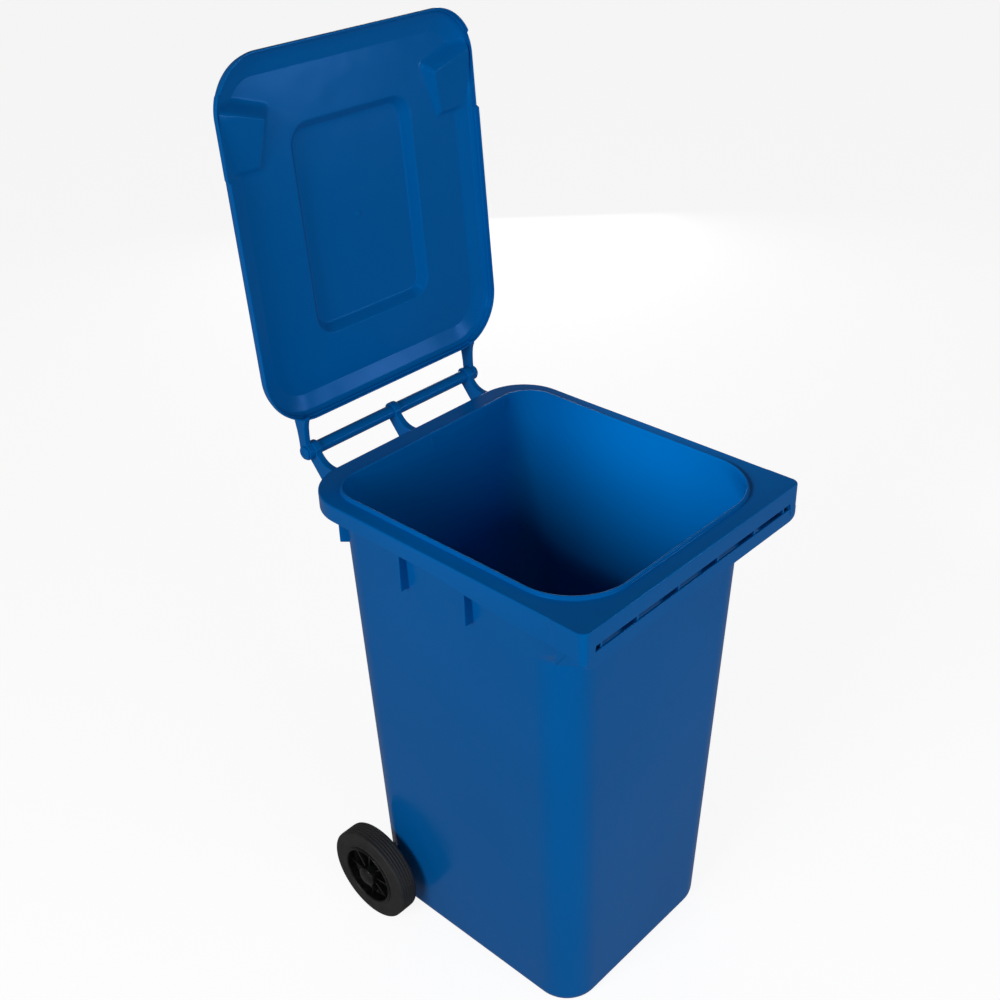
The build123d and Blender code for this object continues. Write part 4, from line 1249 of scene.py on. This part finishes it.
# ---- operators -------------------------------------------------------------------------------
class WHEELIEBIN_OT_body(bpy.types.Operator):
    """Make the one-piece body: tub, rim, comb, ribs, lugs and underside"""

    bl_idname = "wheelie_bin.body"
    bl_label = "Body"

    def execute(self, context):
        finish = finish_for("body_plastic", context.scene)
        parts = [tub_mesh(context.scene.wheelie_bin_sizes)]
        parts += comb_meshes() + rib_meshes() + lug_meshes() + underside_meshes()
        add_piece(joined("bin_body", parts), "bin", finish, ["body_shell"])
        return {"FINISHED"}


class WHEELIEBIN_OT_handle(bpy.types.Operator):
    """Make the handle tube and the two hinge pins"""

    bl_idname = "wheelie_bin.handle"
    bl_label = "Handle and pins"

    def execute(self, context):
        body_finish = finish_for("body_plastic", context.scene)
        add_piece(handle_mesh(), "bin", body_finish, ["handle_bar"])
        for name, side in SIDES.items():
            mesh = pin_mesh(f"pin_{name}", side)
            finish = finish_for("lid_plastic", context.scene)
            add_piece(mesh, "bin", finish, [f"hinge_pin_{name}"])
        return {"FINISHED"}


class WHEELIEBIN_OT_lid(bpy.types.Operator):
    """Make the lid with its arms, panel and hand recesses"""

    bl_idname = "wheelie_bin.lid"
    bl_label = "Lid"

    def execute(self, context):
        finish = finish_for("lid_plastic", context.scene)
        parts = [lid_shell(context.scene.wheelie_bin_sizes), gate_mark(), *lid_arms()]
        add_piece(open_lid(joined("lid_cover", parts)), "lid", finish, ["lid"])
        return {"FINISHED"}


class WHEELIEBIN_OT_wheels(bpy.types.Operator):
    """Make both wheels: tyre, moulded wheel and hub cap"""

    bl_idname = "wheelie_bin.wheels"
    bl_label = "Wheels"

    def execute(self, context):
        sizes = context.scene.wheelie_bin_sizes
        rubber = finish_for("tyre_rubber", context.scene)
        black = finish_for("wheel_plastic", context.scene)
        for name, side in SIDES.items():
            body = f"wheel_{name}"
            tyre = tyre_mesh(f"tyre_ring_{name}", side, sizes)
            add_piece(tyre, body, rubber, [f"tyre_{name}"])
            wheel = joined(f"wheel_moulding_{name}", wheel_meshes(side))
            add_piece(wheel, body, black, [f"wheel_rim_{name}"])
            cap = cap_mesh(f"cap_{name}", side)
            add_piece(cap, body, black, [f"hub_cap_{name}"])
        return {"FINISHED"}


class WHEELIEBIN_OT_fittings(bpy.types.Operator):
    """Give the CAD axle, washers, push nuts and spacers their finishes"""

    bl_idname = "wheelie_bin.fittings"
    bl_label = "Axle fittings"

    def execute(self, context):
        slots = {part["node"]: part["material_slot"] for part in frame["record"]["subparts"]}
        for name, item in frame["nodes"].items():
            if not item.hide_render:
                item.data.materials.clear()
                item.data.materials.append(finish_for(slots[name], context.scene))
        return {"FINISHED"}


class WHEELIEBIN_OT_stage(bpy.types.Operator):
    """Make the floor, the lights and the camera"""

    bl_idname = "wheelie_bin.stage"
    bl_label = "Stage"

    def execute(self, context):
        make_floor()
        make_world(context.scene)
        for light in LIGHTS:
            make_light(*light)
        make_camera(context.scene)
        context.scene.view_settings.view_transform = "Standard"
        return {"FINISHED"}


class WHEELIEBIN_PT_panel(bpy.types.Panel):
    """Lists the sizes, colours and pieces"""

    bl_idname = "WHEELIEBIN_PT_panel"
    bl_label = "Wheelie bin"
    bl_space_type = "VIEW_3D"
    bl_region_type = "UI"
    bl_category = "Wheelie bin"

    def draw(self, context):
        for group in (context.scene.wheelie_bin_sizes, context.scene.wheelie_bin_colours):
            for name in group.__annotations__:
                self.layout.prop(group, name)
        for operator in OPERATORS:
            self.layout.operator(operator.bl_idname)


OPERATORS = (
    WHEELIEBIN_OT_body,
    WHEELIEBIN_OT_handle,
    WHEELIEBIN_OT_lid,
    WHEELIEBIN_OT_wheels,
    WHEELIEBIN_OT_fittings,
    WHEELIEBIN_OT_stage,
)
CLASSES = (WheelieBinSizes, WheelieBinColours, *OPERATORS, WHEELIEBIN_PT_panel)


# ---- stage; a light is name, place, aim, size, power and how many degrees it spreads ---
CAMERA_PLACE = (-1.48319, -1.32835, 2.16338)
CAMERA_YAW = radians(43.776)      # of the line of sight, from +X towards +Y
CAMERA_PITCH = radians(31.288)    # downwards
CAMERA_ROLL = radians(1.8175)
CAMERA_LENS = 47.8
MIDDLE = (0.0, 0.0, 0.75)
CAMERA_FAR = 200
FLOOR_HALF = 30.0
FLOOR_CLOUD = 0.3
FLOOR_SHADE = 0.985
FLOOR_ROUGHNESS = 0.9
FLOOR_SPECULAR = 0.1
FLOOR_GLOW = 0.12         # what the floor sends to the bin
FLOOR_LOOK = 0.89         # what the camera sees of it
SKY_LIGHT = 0.09
SKY_LOOK = 0.96
LIGHTS = (
    ("key_left", (-3.9, -0.3, 2.3), MIDDLE, 1.8, 82, 180),
    ("fill_front", (-0.3, -4.4, 1.5), (0.0, 0.0, 0.9), 3.0, 72, 180),
    ("mouth_left", (-1.8, 0.25, 2.25), (0.36, -0.08, 0.96), 0.4, 0.50, 15),
    ("glint_right", (2.8, -3.6, 1.3), (0.0, 0.3, 1.3), 0.5, 13, 180),
    ("glint_over", (-0.9, -1.3, 3.4), (0.0, 0.0, 1.0), 0.3, 2.6, 180),
    ("rear_right", (3.0, 2.9, 0.9), MIDDLE, 1.6, 22, 180),
)


def make_floor():
    """Pale floor, wide enough to fill the view. It looks near white, but throws little light up."""
    mesh = bpy.data.meshes.new("floor")
    x, y = np.array([(-1, 1, 1, -1), (-1, -1, 1, 1)]) * FLOOR_HALF
    mesh.from_pydata(np.c_[x, y, x * 0].tolist(), [], [(0, 1, 2, 3)])
    floor = bpy.data.objects.new("floor", mesh)
    bpy.context.scene.collection.objects.link(floor)
    material, tree, shader, place = start_material("painted_floor")
    pale = linear(FLOOR_HEX)
    shade = tuple(part * FLOOR_SHADE for part in pale)
    cloudy = spread(tree, grain(tree, place, FLOOR_CLOUD, 2), 0, 1)
    tree.links.new(blend_colours(tree, cloudy, pale, shade), shader.inputs["Base Color"])
    shader.inputs["Roughness"].default_value = FLOOR_ROUGHNESS
    shader.inputs["Specular IOR Level"].default_value = FLOOR_SPECULAR
    shader.inputs["Emission Color"].default_value = (1, 1, 1, 1)
    seen = add_node(tree, "ShaderNodeLightPath").outputs["Is Camera Ray"]
    glow = spread(tree, seen, FLOOR_GLOW, FLOOR_LOOK, 0, 1)
    tree.links.new(glow, shader.inputs["Emission Strength"])
    mesh.materials.append(material)


def make_world(scene):
    """Even dim light from all round, behind a backdrop that looks near white."""
    world = bpy.data.worlds.new("studio")
    world.use_nodes = True
    tree = world.node_tree
    seen = add_node(tree, "ShaderNodeLightPath").outputs["Is Camera Ray"]
    strength = spread(tree, seen, SKY_LIGHT, SKY_LOOK, 0, 1)
    tree.links.new(strength, tree.nodes["Background"].inputs["Strength"])
    tree.nodes["Background"].inputs["Color"].default_value = (1, 1, 1, 1)
    scene.world = world


def make_light(name, place, aim, size, power, beam):
    """Square softbox that faces a point; beam is how many degrees its light spreads over."""
    lamp = bpy.data.lights.new(name, "AREA")
    lamp.size = size
    lamp.energy = power
    lamp.spread = radians(beam)
    lamp_object = bpy.data.objects.new(name, lamp)
    lamp_object.location = place
    way = Vector(aim) - Vector(place)
    lamp_object.rotation_euler = way.to_track_quat("-Z", "Y").to_euler()
    bpy.context.scene.collection.objects.link(lamp_object)


def make_camera(scene):
    """Camera that looks along (cos yaw cos pitch, sin yaw cos pitch, -sin pitch), then rolled."""
    cy, sy = np.cos(CAMERA_YAW), np.sin(CAMERA_YAW)
    cp, sp = np.cos(CAMERA_PITCH), np.sin(CAMERA_PITCH)
    sight = np.array([cy * cp, sy * cp, -sp])
    right = np.array([sy, -cy, 0.0])
    down = np.cross(sight, right)
    x_axis = right * np.cos(CAMERA_ROLL) + down * np.sin(CAMERA_ROLL)
    y_axis = right * np.sin(CAMERA_ROLL) - down * np.cos(CAMERA_ROLL)
    turn = np.column_stack([x_axis, y_axis, -sight])
    camera_data = bpy.data.cameras.new("camera")
    camera_data.lens = CAMERA_LENS
    camera_data.clip_end = CAMERA_FAR
    camera = bpy.data.objects.new("camera", camera_data)
    camera.matrix_world = Matrix.Translation(CAMERA_PLACE) @ Matrix(turn.tolist()).to_4x4()
    scene.collection.objects.link(camera)
    scene.camera = camera


# ---- add-on --------------------------------------------------------------------------------------
def register():
    for item in CLASSES:
        bpy.utils.register_class(item)
    bpy.types.Scene.wheelie_bin_sizes = bpy.props.PointerProperty(type=WheelieBinSizes)
    bpy.types.Scene.wheelie_bin_colours = bpy.props.PointerProperty(type=WheelieBinColours)


def unregister():
    del bpy.types.Scene.wheelie_bin_sizes
    del bpy.types.Scene.wheelie_bin_colours
    for item in reversed(CLASSES):
        bpy.utils.unregister_class(item)


def main():
    register()
    bpy.ops.wheelie_bin.body()
    bpy.ops.wheelie_bin.handle()
    bpy.ops.wheelie_bin.lid()
    bpy.ops.wheelie_bin.wheels()
    bpy.ops.wheelie_bin.fittings()
    bpy.ops.wheelie_bin.stage()
    bpy.context.view_layer.update()


if __name__ == "__main__":
    main()
